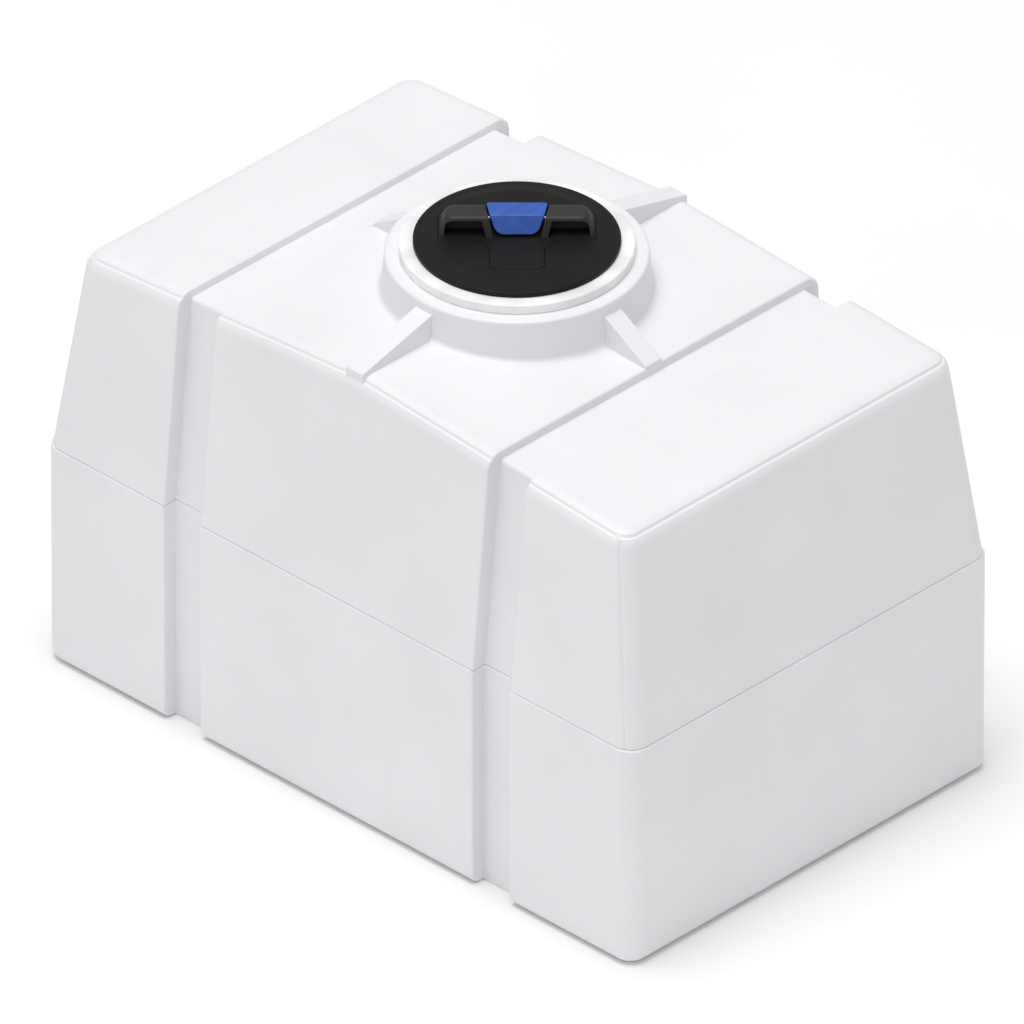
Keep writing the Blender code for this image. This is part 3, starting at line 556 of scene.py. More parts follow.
def moulded_polyethylene(colour):
    """Natural polyethylene, rotationally moulded: satin, a little milky, with the soft waviness of a
    skin that cooled against a blasted mould, and a fine grain over it."""
    made, tree, shader, place = start_material(
        "Rotomoulded natural polyethylene", 0.40, IOR=1.51, Subsurface_Weight=0.06,
        Subsurface_Scale=0.004,
    )
    cloud = noise(tree, place, 140.0, 3.0)
    wave = noise(tree, place, 38.0, 2.0)
    grain = noise(tree, place, 1.6, 4.0)
    tint(tree, shader, cloud, shade(colour, 0.975), shade(colour, 1.015))
    roughen(tree, shader, grain, 0.36, 0.46)
    swell = bumped(tree, shader, wave, 0.0012, 0.30)
    bumped(tree, shader, grain, 0.00012, 0.35, swell)
    return made


def moulded_polypropylene(name, colour, roughness, grain_mm, relief, gloss=0.5):
    """Polypropylene, injection moulded in a spark-eroded tool: an even, fine, slightly sparkling skin.
    Its grain is drawn a little coarser than the real 0.15 mm, so that it shows."""
    made, tree, shader, place = start_material(name, roughness, IOR=1.49, Specular_IOR_Level=gloss)
    grain = noise(tree, place, grain_mm, 5.0)
    flow = noise(tree, place, 45.0, 2.0)
    tint(tree, shader, flow, shade(colour, 0.90), shade(colour, 1.12))
    roughen(tree, shader, grain, roughness - 0.08, roughness + 0.08)
    bumped(tree, shader, grain, relief, 0.6)
    return made


def glossy_acetal(colour):
    """Blue acetal, injection moulded in a polished tool: dense colour, a soft gloss, faint flow marks
    along the press direction, and hairline rub marks from fingers."""
    made, tree, shader, place = start_material(
        "Moulded blue acetal", 0.34, IOR=1.48, Coat_Weight=0.05, Coat_Roughness=0.25,
    )
    stretch = node(tree, "Mapping", {"Vector": place}, Scale=(1.0, 0.12, 1.0))
    flow = noise(tree, stretch.outputs["Vector"], 9.0, 3.0)
    rub = noise(tree, place, 0.9, 5.0)
    tint(tree, shader, flow, shade(colour, 0.90), shade(colour, 1.12))
    roughen(tree, shader, rub, 0.28, 0.44)
    bumped(tree, shader, rub, 0.00005, 0.5)
    return made


def moulded_rubber():
    """EPDM rubber, compression moulded: matt, with a bloom that greys it in patches."""
    made, tree, shader, place = start_material("Moulded EPDM rubber", 0.78, IOR=1.52)
    bloom = noise(tree, place, 12.0, 4.0)
    grit = noise(tree, place, 0.7, 3.0)
    tint(tree, shader, bloom, from_hex("161616"), from_hex("242424"))
    roughen(tree, shader, bloom, 0.70, 0.88)
    bumped(tree, shader, grit, 0.00010, 0.5)
    return made


def open_cell_foam():
    """Reticulated polyurethane foam, cut from sheet: grey, with open cells of about 1 mm."""
    made, tree, shader, place = start_material("Cut polyurethane foam", 0.95, IOR=1.50)
    cells = node(tree, "TexVoronoi", {"Vector": place}, Scale=per_metre(1.1))
    tint(tree, shader, cells.outputs["Distance"], from_hex("3C3C3E"), from_hex("8A8A8C"), 0.1, 0.6)
    bumped(tree, shader, cells.outputs["Distance"], 0.0006, 0.9)
    return made


def drawn_stainless_steel():
    """Stainless steel, drawn to wire or cold headed: bright, with faint lengthwise die marks."""
    made, tree, shader, place = start_material("Drawn stainless steel", 0.28, metallic=1.0)
    marks = noise(tree, place, 0.8, 4.0)
    tint(tree, shader, marks, from_hex("B4B3AE"), from_hex("D2D1CC"))
    roughen(tree, shader, marks, 0.20, 0.38)
    bumped(tree, shader, marks, 0.00003, 0.4)
    return made


MATERIALS = {}


def material(slot):
    """The finish of a material slot, made when it is first wanted."""
    colours = bpy.context.scene.tank_colours
    makers = {
        "tank_polyethylene": lambda: moulded_polyethylene(from_hex(colours.tank)),
        "ring_polypropylene": lambda: moulded_polypropylene(
            "Moulded white polypropylene", from_hex(colours.ring), 0.36, 1.2, 0.00005,
        ),
        "lid_polypropylene": lambda: moulded_polypropylene(
            "Moulded black polypropylene", from_hex(colours.lid), 0.50, 0.8, 0.00010, 0.18,
        ),
        "worn_polypropylene": lambda: moulded_polypropylene(
            "Handled black polypropylene", from_hex(colours.grip), 0.55, 0.8, 0.00014, 0.40,
        ),
        "paddle_blue": lambda: glossy_acetal(from_hex(colours.paddle)),
        "dark_nylon": lambda: moulded_polypropylene(
            "Moulded dark nylon", from_hex("3A3A3C"), 0.50, 0.9, 0.00010,
        ),
        "seal_rubber": moulded_rubber,
        "filter_foam": open_cell_foam,
        "stainless_steel": drawn_stainless_steel,
    }
    if slot not in MATERIALS:
        MATERIALS[slot] = makers[slot]()
    return MATERIALS[slot]


# Tank moulding


def lower_half(name, side, end, bottom_z, corner, foot):
    """The straight half of the tank's outline, drawn in by side and end."""
    sizes = bpy.context.scene.tank_sizes
    half_x = SHELL_HIGH.x - end
    half_y = SHELL_HIGH.y - side
    piece = add_box(name, (-half_x, -half_y, bottom_z), (half_x, half_y, sizes.parting_z))
    with editing(piece):
        choose("edges", lambda edge: abs(edge.verts[0].co.z - edge.verts[1].co.z) > 0.1)
        bevel(corner, CORNER_STEPS)
        if foot:
            choose("edges", lambda edge: middle(edge).z < bottom_z + HAIR)
            bevel(foot, 6)
    return piece


def upper_half(name, side, end, top, bottom_z, corner, rim, rim_segments):
    """The tapered half, with a shallow ridge across its roof. It runs on a little below the parting, or
    else goes straight down from there to a bottom."""
    sizes = bpy.context.scene.tank_sizes
    half_x = SHELL_HIGH.x - end
    half_y = SHELL_HIGH.y - side
    eaves = sizes.eaves_z - top
    rise = sizes.ridge_z - sizes.eaves_z
    lean = sizes.side_taper / (sizes.eaves_z - sizes.parting_z)
    top_x = half_x - sizes.end_taper
    top_y = half_y - sizes.side_taper
    low_x = half_x + sizes.end_taper * OVERRUN / (sizes.eaves_z - sizes.parting_z)
    low_y = half_y + lean * OVERRUN
    piece = add_box(name, (-low_x, -low_y, sizes.parting_z - OVERRUN), (low_x, low_y, eaves))
    with editing(piece):
        choose("verts", lambda vert: vert.co.z > eaves - HAIR)
        bpy.ops.transform.resize(
            value=(top_x / low_x, top_y / low_y, 1.0), center_override=(0.0, 0.0, eaves)
        )
        choose_all()
        bpy.ops.mesh.bisect(plane_co=(0, 0, 0), plane_no=(1, 0, 0))
        choose("verts", lambda vert: abs(vert.co.x) < HAIR and vert.co.z > eaves - HAIR)
        bpy.ops.transform.resize(
            value=(1.0, (top_y - rise * lean) / top_y, 1.0), center_override=(0.0, 0.0, eaves)
        )
        bpy.ops.transform.translate(value=(0.0, 0.0, rise))
        choose("edges", lambda edge: abs(middle(edge).x) > 0.1 and leans_upright(edge))
        bevel(corner, CORNER_STEPS)
        choose("edges", is_rim)
        bevel(rim, rim_segments)
    if bottom_z < sizes.parting_z:
        trim_below(piece, sizes.parting_z)
        with editing(piece):
            choose("faces", lambda face: face.normal.z < -0.9)
            bpy.ops.mesh.extrude_region_move(
                TRANSFORM_OT_translate={"value": (0.0, 0.0, bottom_z - sizes.parting_z)}
            )
    return piece


def trim_below(piece, level_z):
    """Cuts away what is below a level, and closes the cut."""
    with editing(piece):
        choose_all()
        bpy.ops.mesh.bisect(
            plane_co=(0, 0, level_z), plane_no=(0, 0, 1), clear_inner=True, use_fill=True,
            threshold=WELD,
        )
        close_up()


def leans_upright(edge):
    low, high = sorted((edge.verts[0].co.z, edge.verts[1].co.z))
    return high - low > 0.1


def is_rim(edge):
    """Between a wall and the roof."""
    slopes = sorted(face.normal.z for face in edge.link_faces)
    return len(slopes) == 2 and slopes[0] < 0.5 and slopes[1] > 0.9


def normal_angles(vert):
    """How far the vertex's normal is above the horizon, and how far round from the front or back."""
    up = degrees(asin(max(-1.0, min(1.0, vert.normal.z))))
    round_ = degrees(atan2(abs(vert.normal.x), abs(vert.normal.y)))
    return up, round_


def crease_beads(piece):
    """Presses a crease along the middle of every rounded edge, which leaves a bead on each side."""
    sizes = bpy.context.scene.tank_sizes
    rim_low = sizes.eaves_z - 0.03

    def on_rim(vert, at_end):
        up, round_ = normal_angles(vert)
        inside = vert.co.z > rim_low and RIM_RISE[0] < up < RIM_RISE[1]
        return inside and (round_ > END_TURN) == at_end

    def on_corner(vert):
        up, round_ = normal_angles(vert)
        return CORNER_TURN[0] < round_ < CORNER_TURN[1] and up < RIM_RISE[0]

    tests = (lambda vert: on_rim(vert, True), lambda vert: on_rim(vert, False), on_corner)
    with editing(piece):
        for test, share in zip(tests, BEAD_SHARES):
            choose("verts", test)
            bpy.ops.transform.shrink_fatten(value=-sizes.bead_depth * share)


def at_groove_wall(edge, half_width):
    place = bpy.context.scene.groove_sizes.place_x
    off = min(abs(abs(vert.co.x) - place - side * half_width) for vert in edge.verts for side in (-1, 1))
    return off < 0.0002 and abs(edge.verts[0].co.x - edge.verts[1].co.x) < HAIR


def soften_groove(piece, half_width):
    groove = bpy.context.scene.groove_sizes
    with editing(piece):
        choose("edges", lambda edge: is_sharp(edge, False) and at_groove_wall(edge, half_width))
        bevel(groove.root_radius, 2)
        choose("edges", lambda edge: is_sharp(edge, True) and at_groove_wall(edge, half_width))
        bevel(groove.lip_radius, 4)


def make_lower(name):
    sizes = bpy.context.scene.tank_sizes
    groove = bpy.context.scene.groove_sizes
    lower = lower_half(name, 0.0, 0.0, SHELL_LOW.z, sizes.lower_corner, sizes.foot_radius)
    half = groove.width / 2
    floor_y = SHELL_HIGH.y - groove.side_depth
    for side in (-1, 1):
        middle_x = side * groove.place_x
        for low_y, high_y in ((-LONG, -floor_y), (floor_y, LONG)):
            cut(lower, add_box("notch", (middle_x - half, low_y, -LONG), (middle_x + half, high_y, LONG)))
    soften_groove(lower, half)
    top_z = sizes.parting_z - HAIR
    with editing(lower):
        choose("faces", lambda face: face.normal.z > 0.9 and face.calc_center_median().z > top_z)
        bpy.ops.mesh.inset(thickness=sizes.step * LEDGE_INSET, depth=sizes.step * LEDGE_RISE)
    return lower


def cut_grooves(piece, half, wall, low_z, core_low_z, rim, rim_segments):
    """Cuts both strap grooves down to a level, or with a wall their inner side."""
    sizes = bpy.context.scene.tank_sizes
    groove = bpy.context.scene.groove_sizes
    for side in (-1, 1):
        middle_x = side * groove.place_x
        slab = add_box("slab", (middle_x - half, -LONG, low_z), (middle_x + half, LONG, LONG))
        core = upper_half(
            "core", groove.side_depth + wall + sizes.step, PAST_ENDS, groove.top_depth + wall,
            core_low_z, sizes.upper_corner, rim, rim_segments,
        )
        cut(piece, cut(slab, core))


def make_upper(name):
    sizes = bpy.context.scene.tank_sizes
    upper = upper_half(
        name, sizes.step, sizes.step, 0.0, sizes.parting_z, sizes.upper_corner, sizes.rim_radius, 10
    )
    crease_beads(upper)
    half = bpy.context.scene.groove_sizes.width / 2 + sizes.step / 2
    cut_grooves(upper, half, 0.0, 0.0, -0.1, CORE_RIM_R, 5)
    soften_groove(upper, half)
    trim_below(upper, sizes.parting_z + sizes.step * NOTCH)
    return upper


def add_collar(upper):
    """A drawn-in collar that carries the upper half down inside the lower one, and leaves a fine notch."""
    sizes = bpy.context.scene.tank_sizes
    level_z = sizes.parting_z + 0.01
    with editing(upper):
        choose("faces", lambda face: face.normal.z < -0.9 and face.calc_center_median().z < level_z)
        bpy.ops.mesh.inset(thickness=sizes.step * COLLAR_INSET, depth=0.0)
        bpy.ops.mesh.extrude_region_move(TRANSFORM_OT_translate={"value": (0.0, 0.0, -COLLAR_DEPTH)})


def make_neck():
    neck = bpy.context.scene.neck_sizes
    low_z = bpy.context.scene.tank_sizes.eaves_z - 0.020
    piece = add_rod("neck", (0, 0, low_z), (0, 0, SHELL_HIGH.z), neck.foot_radius, 144, neck.top_radius)
    with editing(piece):
        choose("edges", lambda edge: middle(edge).z > SHELL_HIGH.z - HAIR)
        bevel(NECK_RIM_R, 5)
    return piece


def make_gusset(turn, outer, outer_roof):
    """A rib that falls from the neck to the roof's edge or to a groove's edge."""
    neck = bpy.context.scene.neck_sizes
    half = neck.gusset_width / 2
    low_z = bpy.context.scene.tank_sizes.eaves_z - 0.030
    top_z = SHELL_HIGH.z - GUSSET_DROP
    piece = add_box("gusset", (neck.top_radius - 0.010, -half, low_z), (outer, half, top_z))
    with editing(piece):
        choose("verts", lambda vert: vert.co.x > outer - HAIR and vert.co.z > low_z + HAIR)
        bpy.ops.transform.translate(value=(0.0, 0.0, outer_roof + GUSSET_TOE - top_z))
        choose("verts", lambda vert: vert.co.z < low_z + HAIR)
        bpy.ops.transform.resize(value=(1.0, GUSSET_FLARE, 1.0), center_override=(0.0, 0.0, low_z))
        choose("edges", lambda edge: all(face.normal.x > -0.5 for face in edge.link_faces)
               and any(face.normal.z > 0.5 for face in edge.link_faces))
        bevel(GUSSET_EDGE_R, 3)
    piece.rotation_euler = (0.0, 0.0, turn)
    return settle(piece)


def roof_z(x):
    sizes = bpy.context.scene.tank_sizes
    top_x = SHELL_HIGH.x - sizes.end_taper
    return sizes.ridge_z - (sizes.ridge_z - sizes.eaves_z) * abs(x) / top_x


def add_neck_and_gussets(upper):
    sizes = bpy.context.scene.tank_sizes
    groove = bpy.context.scene.groove_sizes
    neck = bpy.context.scene.neck_sizes
    join(upper, make_neck())
    with editing(upper):
        choose("edges", lambda edge: is_sharp(edge, False, radians(60))
               and abs(middle(edge).xy.length - neck.foot_radius) < 0.006
               and middle(edge).z > sizes.eaves_z)
        bevel(neck.fillet, 5)
    groove_edge = groove.place_x - groove.width / 2 - 0.0006
    side_edge = SHELL_HIGH.y - sizes.side_taper - 0.0060
    reaches = ((groove_edge, roof_z(groove_edge)), (side_edge, sizes.ridge_z))
    for i in range(4):
        outer, outer_roof = reaches[i % 2]
        join(upper, make_gusset(i * pi / 2, outer, outer_roof))


def outlet_pocket(name, extra):
    """The recess round the outlet, low on the left end."""
    half = bpy.context.scene.neck_sizes.pocket_half + extra
    floor_x = NUT_HIGH.x + GAP + extra
    low_z = OUTLET_Z - half + RECESS_RISE
    piece = add_box(name, (-LONG, -half, low_z), (floor_x, half, OUTLET_Z + half))
    with editing(piece):
        choose("edges", lambda edge: abs(edge.verts[0].co.x - edge.verts[1].co.x) > 0.01)
        bevel(RECESS_CORNER_R + extra, 6)
        if not extra:
            choose("edges", lambda edge: middle(edge).x > floor_x - HAIR)
            bevel(RECESS_ROOT_R, 4)
    return piece


def make_cavity():
    """The space inside: the outer form less its wall, less what the grooves push inwards."""
    sizes = bpy.context.scene.tank_sizes
    wall = sizes.wall
    lower = lower_half("cavity", wall, wall, SHELL_LOW.z + wall, sizes.lower_corner - wall, 0.007)
    upper = upper_half(
        "upper_cavity", wall + sizes.step, wall + sizes.step, wall, sizes.parting_z - 0.010,
        sizes.upper_corner - wall, sizes.rim_radius - wall, 4,
    )
    join(lower, upper)
    half = bpy.context.scene.groove_sizes.width / 2 + wall
    cut_grooves(lower, half, wall, -LONG, -2 * LONG, 0.004, 2)
    cut(lower, outlet_pocket("inner_pocket", wall))
    neck = bpy.context.scene.neck_sizes
    space = add_rod(
        "neck_space", (0, 0, sizes.eaves_z - 0.030), (0, 0, SHELL_HIGH.z - wall),
        neck.top_radius - wall, 96,
    )
    return join(lower, space)


class WATERTANK_OT_moulding(bpy.types.Operator):
    """Builds the hollow tank: two halves, strap grooves, neck, gussets and the outlet's recess"""

    bl_idname = "watertank.moulding"
    bl_label = "Tank Moulding"

    def execute(self, context):
        sizes = context.scene.tank_sizes
        upper = make_upper("tank_moulding")
        add_neck_and_gussets(upper)
        add_collar(upper)
        tank = join(upper, make_lower("lower_moulding"))
        cut(tank, outlet_pocket("pocket", 0.0))
        reach = context.scene.neck_sizes.pocket_half + 0.002
        with editing(tank):
            choose("edges", lambda edge: is_sharp(edge, True)
                   and abs(middle(edge).x - SHELL_LOW.x) < 0.0005 and abs(middle(edge).y) < reach
                   and middle(edge).z < OUTLET_Z + reach)
            bevel(RECESS_LIP_R, 4)
        hole_end = SHELL_LOW.x + context.scene.neck_sizes.pocket_half
        cut(
            tank, make_cavity(),
            add_rod("bore", (0, 0, sizes.eaves_z), (0, 0, LONG), context.scene.neck_sizes.bore, 128),
            add_rod("outlet_hole", (-LONG, 0, OUTLET_Z), (hole_end, 0, OUTLET_Z), OUTLET_HOLE_R, 48),
        )
        smooth(tank)
        finish_piece(tank, "tank", "tank_polyethylene", "tank_shell")
        return {"FINISHED"}


# Manway ring


def lug_direction(i):
    """Middle of the i-th lug of the lid at rest; the ring's lugs stand between them."""
    return bpy.context.scene.lid_sizes.turn + pi / 4 + i * pi / 2


def inner_rib(name, middle_angle, width, inner, low_z, high_z):
    """A rib on the ring's inner wall: a sector with rounded edges."""
    wall = (bpy.context.scene.ring_sizes.bore + bpy.context.scene.ring_sizes.skirt_radius) / 2
    edge = 0.0008
    corners = ((inner, low_z, edge), (inner, high_z, edge), (wall, high_z), (wall, low_z))
    steps = max(2, round(degrees(width) / 3))
    return turned(name, corners, steps, middle_angle - width / 2, width, 2)


class WATERTANK_OT_ring(bpy.types.Operator):
    """Builds the white ring in the neck, with its bayonet lugs, stops and catch rib"""

    bl_idname = "watertank.ring"
    bl_label = "Manway Ring"

    def execute(self, context):
        ring = context.scene.ring_sizes
        foot = SHELL_HIGH.z + GAP
        recess = foot + 0.0018
        gasket_edge = ring.radius - 0.005
        piece = turned(
            "manway_ring_body",
            (
                (ring.bore, RING_HIGH.z, 0.0014), (ring.radius, RING_HIGH.z, 0.0018),
                (ring.radius, foot, 0.0005), (gasket_edge, foot), (gasket_edge, recess),
                (ring.skirt_radius, recess), (ring.skirt_radius, RING_LOW.z, 0.0010),
                (ring.bore, RING_LOW.z, 0.0010),
            ),
            180,
        )
        lug_high = ring.lug_low_z + LUG_HEIGHT
        for i in range(4):
            direction = lug_direction(i)
            join(
                piece,
                inner_rib(
                    f"lug_{i}", direction + pi / 4, ring.lug_angle, LUG_INNER_R,
                    ring.lug_low_z, lug_high,
                ),
                inner_rib(
                    f"stop_{i}", direction - STOP_TURN, radians(3), LUG_INNER_R,
                    ring.lug_low_z - STOP_DROP, lug_high,
                ),
            )
        catch_turn = context.scene.lid_sizes.turn - pi / 2 - CATCH_TURN
        join(
            piece,
            inner_rib("catch", catch_turn, radians(2.5), CATCH_INNER_R, BOLT_Z - 0.004, BOLT_Z + 0.005),
        )
        smooth(piece)
        finish_piece(piece, "tank", "ring_polypropylene", "manway_ring")
        return {"FINISHED"}


# Lid, straight at first


def fan(centre, radius, start, end, count):
    """Points along an arc."""
    angles = [start + (end - start) * i / count for i in range(count + 1)]
    return [(centre[0] + radius * cos(a), centre[1] + radius * sin(a)) for a in angles]


def plate_outline(inset):
    """The grip's foot and the tongue in front of it, drawn in by an inset, anticlockwise."""
    grip = bpy.context.scene.grip_sizes
    half = grip.half_length - inset
    back = grip.back_y - inset
    front = grip.front_y - 0.002 + inset
    tongue_half = grip.tongue_half - inset
    tongue_y = grip.tongue_y + inset
    sweep, tip, end = 0.026 + inset, 0.007, 0.008
    right = fan((tongue_half - tip, tongue_y + tip), tip, -pi / 2, 0, 8)
    right += fan((tongue_half + sweep, front - sweep), sweep, pi, pi / 2, 16)
    right += [(half, front - 0.0015)]
    right += fan((half - end, back - end), end, 0, pi / 2, 8)
    return right + [(-x, y) for x, y in reversed(right)]


def plate_slab(name, inset, low_z, high_z):
    points = [(x, y, low_z) for x, y in plate_outline(inset)]
    return extruded(name, points, (0.0, 0.0, high_z - low_z))


def handle_screw_places():
    return [(side * x, y) for side in (-1, 1) for x, y in ((0.064, 0.021), (0.044, 0.030))]


def cover_screw_places():
    return [(0.0705 * cos(a), 0.0705 * sin(a)) for a in (pi / 4 + i * pi / 2 for i in range(4))]


def guide_screw_places():
    return [(side * 0.0165, y) for side in (-1, 1) for y in (-0.050, 0.030)]


def foot_window():
    """The slot that the paddle's foot swings in."""
    return add_box("foot_window", (-0.0068, 0.0020, 0.0), (0.0068, 0.0200, LONG))


class WATERTANK_OT_cover(bpy.types.Operator):
    """Builds the lid's domed cover, with the recess for the grip's plate and the gasket's groove"""

    bl_idname = "watertank.cover"
    bl_label = "Lid Cover"

    def execute(self, context):
        lid = context.scene.lid_sizes
        under = COVER_LOW_Z
        gasket_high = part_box("lid_gasket")[1]
        groove_out, groove_top = gasket_high.x + GAP, gasket_high.z + GAP
        piece = turned(
            "lid_cover_body",
            (
                (0.0, lid.crown_z), (DOME_R, lid.crown_z, 0.030),
                (SHOULDER_R, lid.rim_z + 0.0002, 0.010),
                (lid.radius, lid.rim_z - 0.0004, 0.0016), (lid.radius, under, 0.0006),
                (groove_out, under), (groove_out, groove_top), (SEAT_R, groove_top),
                (SEAT_R, under), (0.0, under),
            ),
            192,
        )
        cut(
            piece, plate_slab("plate_recess", -0.0001, GRIP_LOW_Z - GAP, LONG), foot_window(),
            *rods("handle_way", handle_screw_places(), 0.0, LONG, SCREW_WAY_R),
            *rods("cover_pilot", cover_screw_places(), 0.0, under + COVER_PILOT_DEPTH, COVER_PILOT_R),
            *rods("guide_pilot", guide_screw_places(), 0.0, under + GUIDE_PILOT_DEPTH, GUIDE_PILOT_R),
        )
        smooth(turn_to_lid(piece, lid.turn))
        finish_piece(piece, "lid", "lid_polypropylene", "lid_cover")
        return {"FINISHED"}


def grip_bar():
    """The raised bar, wider at its foot than at its top, with its finger pockets and the paddle's bay."""
    grip = bpy.context.scene.grip_sizes
    low_z = GRIP_LOW_Z + 0.001
    foot, back = grip.half_length - BAR_STEP, grip.back_y - BAR_STEP
    bar = add_box("grip_bar", (-foot, grip.front_y, low_z), (foot, back, grip.top_z))
    with editing(bar):
        top = grip.top_z - HAIR
        choose("verts", lambda vert: vert.co.z > top)
        bpy.ops.transform.resize(value=(grip.top_half_length / foot, 1.0, 1.0))
        choose("verts", lambda vert: vert.co.z > top and vert.co.y > 0.01)
        bpy.ops.transform.translate(value=(0.0, BAR_TOP_BACK_Y - back, 0.0))
        choose("verts", lambda vert: vert.co.z > top and vert.co.y < 0.01)
        bpy.ops.transform.translate(value=(0.0, BAR_TOP_FRONT_Y - grip.front_y, 0.0))
        choose("edges", lambda edge: abs(edge.verts[0].co.z - edge.verts[1].co.z) > 0.01)
        bevel(grip.corner, 10)
        choose("edges", lambda edge: all(vert.co.z > top for vert in edge.verts))
        bevel(grip.rim, 6)
    low, roof = GRIP_LOW_Z - 0.001, grip.top_z - ROOF
    for side in (-1, 1):
        mouth = rounded((
            (side * POCKET_OUTER, low), (side * POCKET_OUTER_TOP, roof, POCKET_OUTER_R),
            (side * POCKET_INNER_TOP, roof, POCKET_INNER_R), (side * POCKET_INNER, low),
        ), 6)
        outline = [(x, POCKET_FRONT_Y, z) for x, z in mouth]
        cut(bar, extruded("pocket", outline, (0.0, POCKET_DEPTH, 0.0)))
    cut(bar, paddle_bay(low))
    with editing(bar):
        choose("edges", lambda edge: is_sharp(edge, True, radians(50)) and middle(edge).z > low_z + 0.0030
               and abs(middle(edge).x) < 0.0670 and middle(edge).y < 0.0195)
        bevel(BAR_EDGE_R, 3)
    return bar


def paddle_bay(low_z):
    """The space that the paddle rocks in: wide at its top and back, narrow at its front foot."""
    grip = bpy.context.scene.grip_sizes
    wide = grip.bay_half
    bay = add_box("bay", (-wide, BAY_FRONT_Y, low_z), (wide, BAY_BACK_Y, grip.top_z + 0.002))
    narrowed = ((True, True, BAY_TOP_FRONT), (True, False, BAY_LOW_FRONT), (False, False, BAY_LOW_BACK))
    with editing(bay):
        for front, upper, half in narrowed:
            choose("verts", lambda vert: (vert.co.y < 0.0) == front and (vert.co.z > grip.top_z) == upper)
            bpy.ops.transform.resize(value=(half / wide, 1.0, 1.0))
    return bay


class WATERTANK_OT_grip(bpy.types.Operator):
    """Builds the grip: an inlaid plate with its tongue, and the bar with finger pockets and a bay"""

    bl_idname = "watertank.grip"
    bl_label = "Grip"

    def execute(self, context):
        lid, grip, paddle = (
            context.scene.lid_sizes, context.scene.grip_sizes, context.scene.paddle_sizes
        )
        plate = plate_slab("grip_body", lid.seam, GRIP_LOW_Z, lid.crown_z + 0.0002)
        with editing(plate):
            choose("edges", lambda edge: middle(edge).z > lid.crown_z and is_sharp(edge, True, radians(60)))
            bevel(PLATE_EDGE_R, 2)
        join(plate, grip_bar())
        pin_ends = [(x, paddle.pin_y, paddle.pin_z) for x in (-PIN_WAY_HALF, PIN_WAY_HALF)]
        cut(
            plate, foot_window(), add_rod("pin_way", *pin_ends, PIN_WAY_R, 24),
            *rods("handle_pilot", handle_screw_places(), 0.0, HANDLE_PILOT_Z, HANDLE_PILOT_R),
        )
        smooth(turn_to_lid(plate, lid.turn))
        finish_piece(plate, "lid", "lid_polypropylene", "grip_handle")
        plate.data.materials.append(material("worn_polypropylene"))
        with editing(plate):
            choose("faces", lambda face: face.calc_center_median().z > lid.crown_z + 0.0006)
            plate.active_material_index = 1
            bpy.ops.object.material_slot_assign()
        return {"FINISHED"}


def is_corner(edge, thick):
    """One of the flap's outer corners, which run through its thickness."""
    start, end = (vert.co for vert in edge.verts)
    return abs(start.x - end.x) < HAIR and (start - end).length < thick * 1.2


class WATERTANK_OT_paddle(bpy.types.Operator):
    """Builds the blue release paddle: a bent, tapered flap, its hinge bosses and its foot"""

    bl_idname = "watertank.paddle"
    bl_label = "Release Paddle"

    def execute(self, context):
        lid, paddle = context.scene.lid_sizes, context.scene.paddle_sizes
        top, thick = PADDLE_HIGH.z, paddle.thick
        side_view = rounded((
            (FLAP_BACK_Y, top), (FLAP_CREASE_Y, top, 0.0014), (TOE_Y, TOE_Z),
            (TOE_Y + thick, TOE_Z + 0.0004), (FLAP_CREASE_Y + thick, top - thick),
            (FLAP_BACK_Y, top - thick),
        ))
        points = [(-paddle.crease_half, y, z) for y, z in side_view]
        piece = extruded("release_paddle_body", points, (2 * paddle.crease_half, 0.0, 0.0))
        with editing(piece):
            choose("verts", lambda vert: vert.co.z < TOE_Z + 0.003)
            bpy.ops.transform.resize(value=(paddle.toe_half / paddle.crease_half, 1.0, 1.0))
            choose("verts", lambda vert: vert.co.y > FLAP_BACK_Y - 0.002)
            bpy.ops.transform.resize(value=(paddle.back_half / paddle.crease_half, 1.0, 1.0))
            choose("edges", lambda edge: is_corner(edge, thick) and middle(edge).z < TOE_Z + 0.003)
            bevel(TOE_CORNER_R, 8)
            back = FLAP_BACK_Y - 0.002
            choose("edges", lambda edge: is_corner(edge, thick) and middle(edge).y > back)
            bevel(BACK_CORNER_R, 6)
            choose("edges", lambda edge: is_sharp(edge, True, radians(60)))
            bevel(FLAP_EDGE_R, 3)
        pin_y, pin_z = paddle.pin_y, paddle.pin_z
        blade = add_box(
            "blade", (-BLADE_HALF_X, pin_y - BLADE_HALF_Y, PADDLE_LOW.z),
            (BLADE_HALF_X, pin_y + BLADE_HALF_Y, pin_z + BOSS_R),
        )
        with editing(blade):
            choose("edges", lambda edge: middle(edge).z < pin_z)
            bevel(0.0006, 2)
        join(piece, blade)
        for low, high in ((-BLADE_HALF_X, BLADE_HALF_X), (0.0245, 0.0270), (-0.0270, -0.0245)):
            join(piece, add_rod("boss", (low, pin_y, pin_z), (high, pin_y, pin_z), BOSS_R, 32))
        cut(piece, add_rod("pin_way", (-0.05, pin_y, pin_z), (0.05, pin_y, pin_z), PIN_WAY_R, 24))
        smooth(turn_to_lid(piece, lid.turn))
        finish_piece(piece, "paddle", "paddle_blue", "release_paddle")
        return {"FINISHED"}


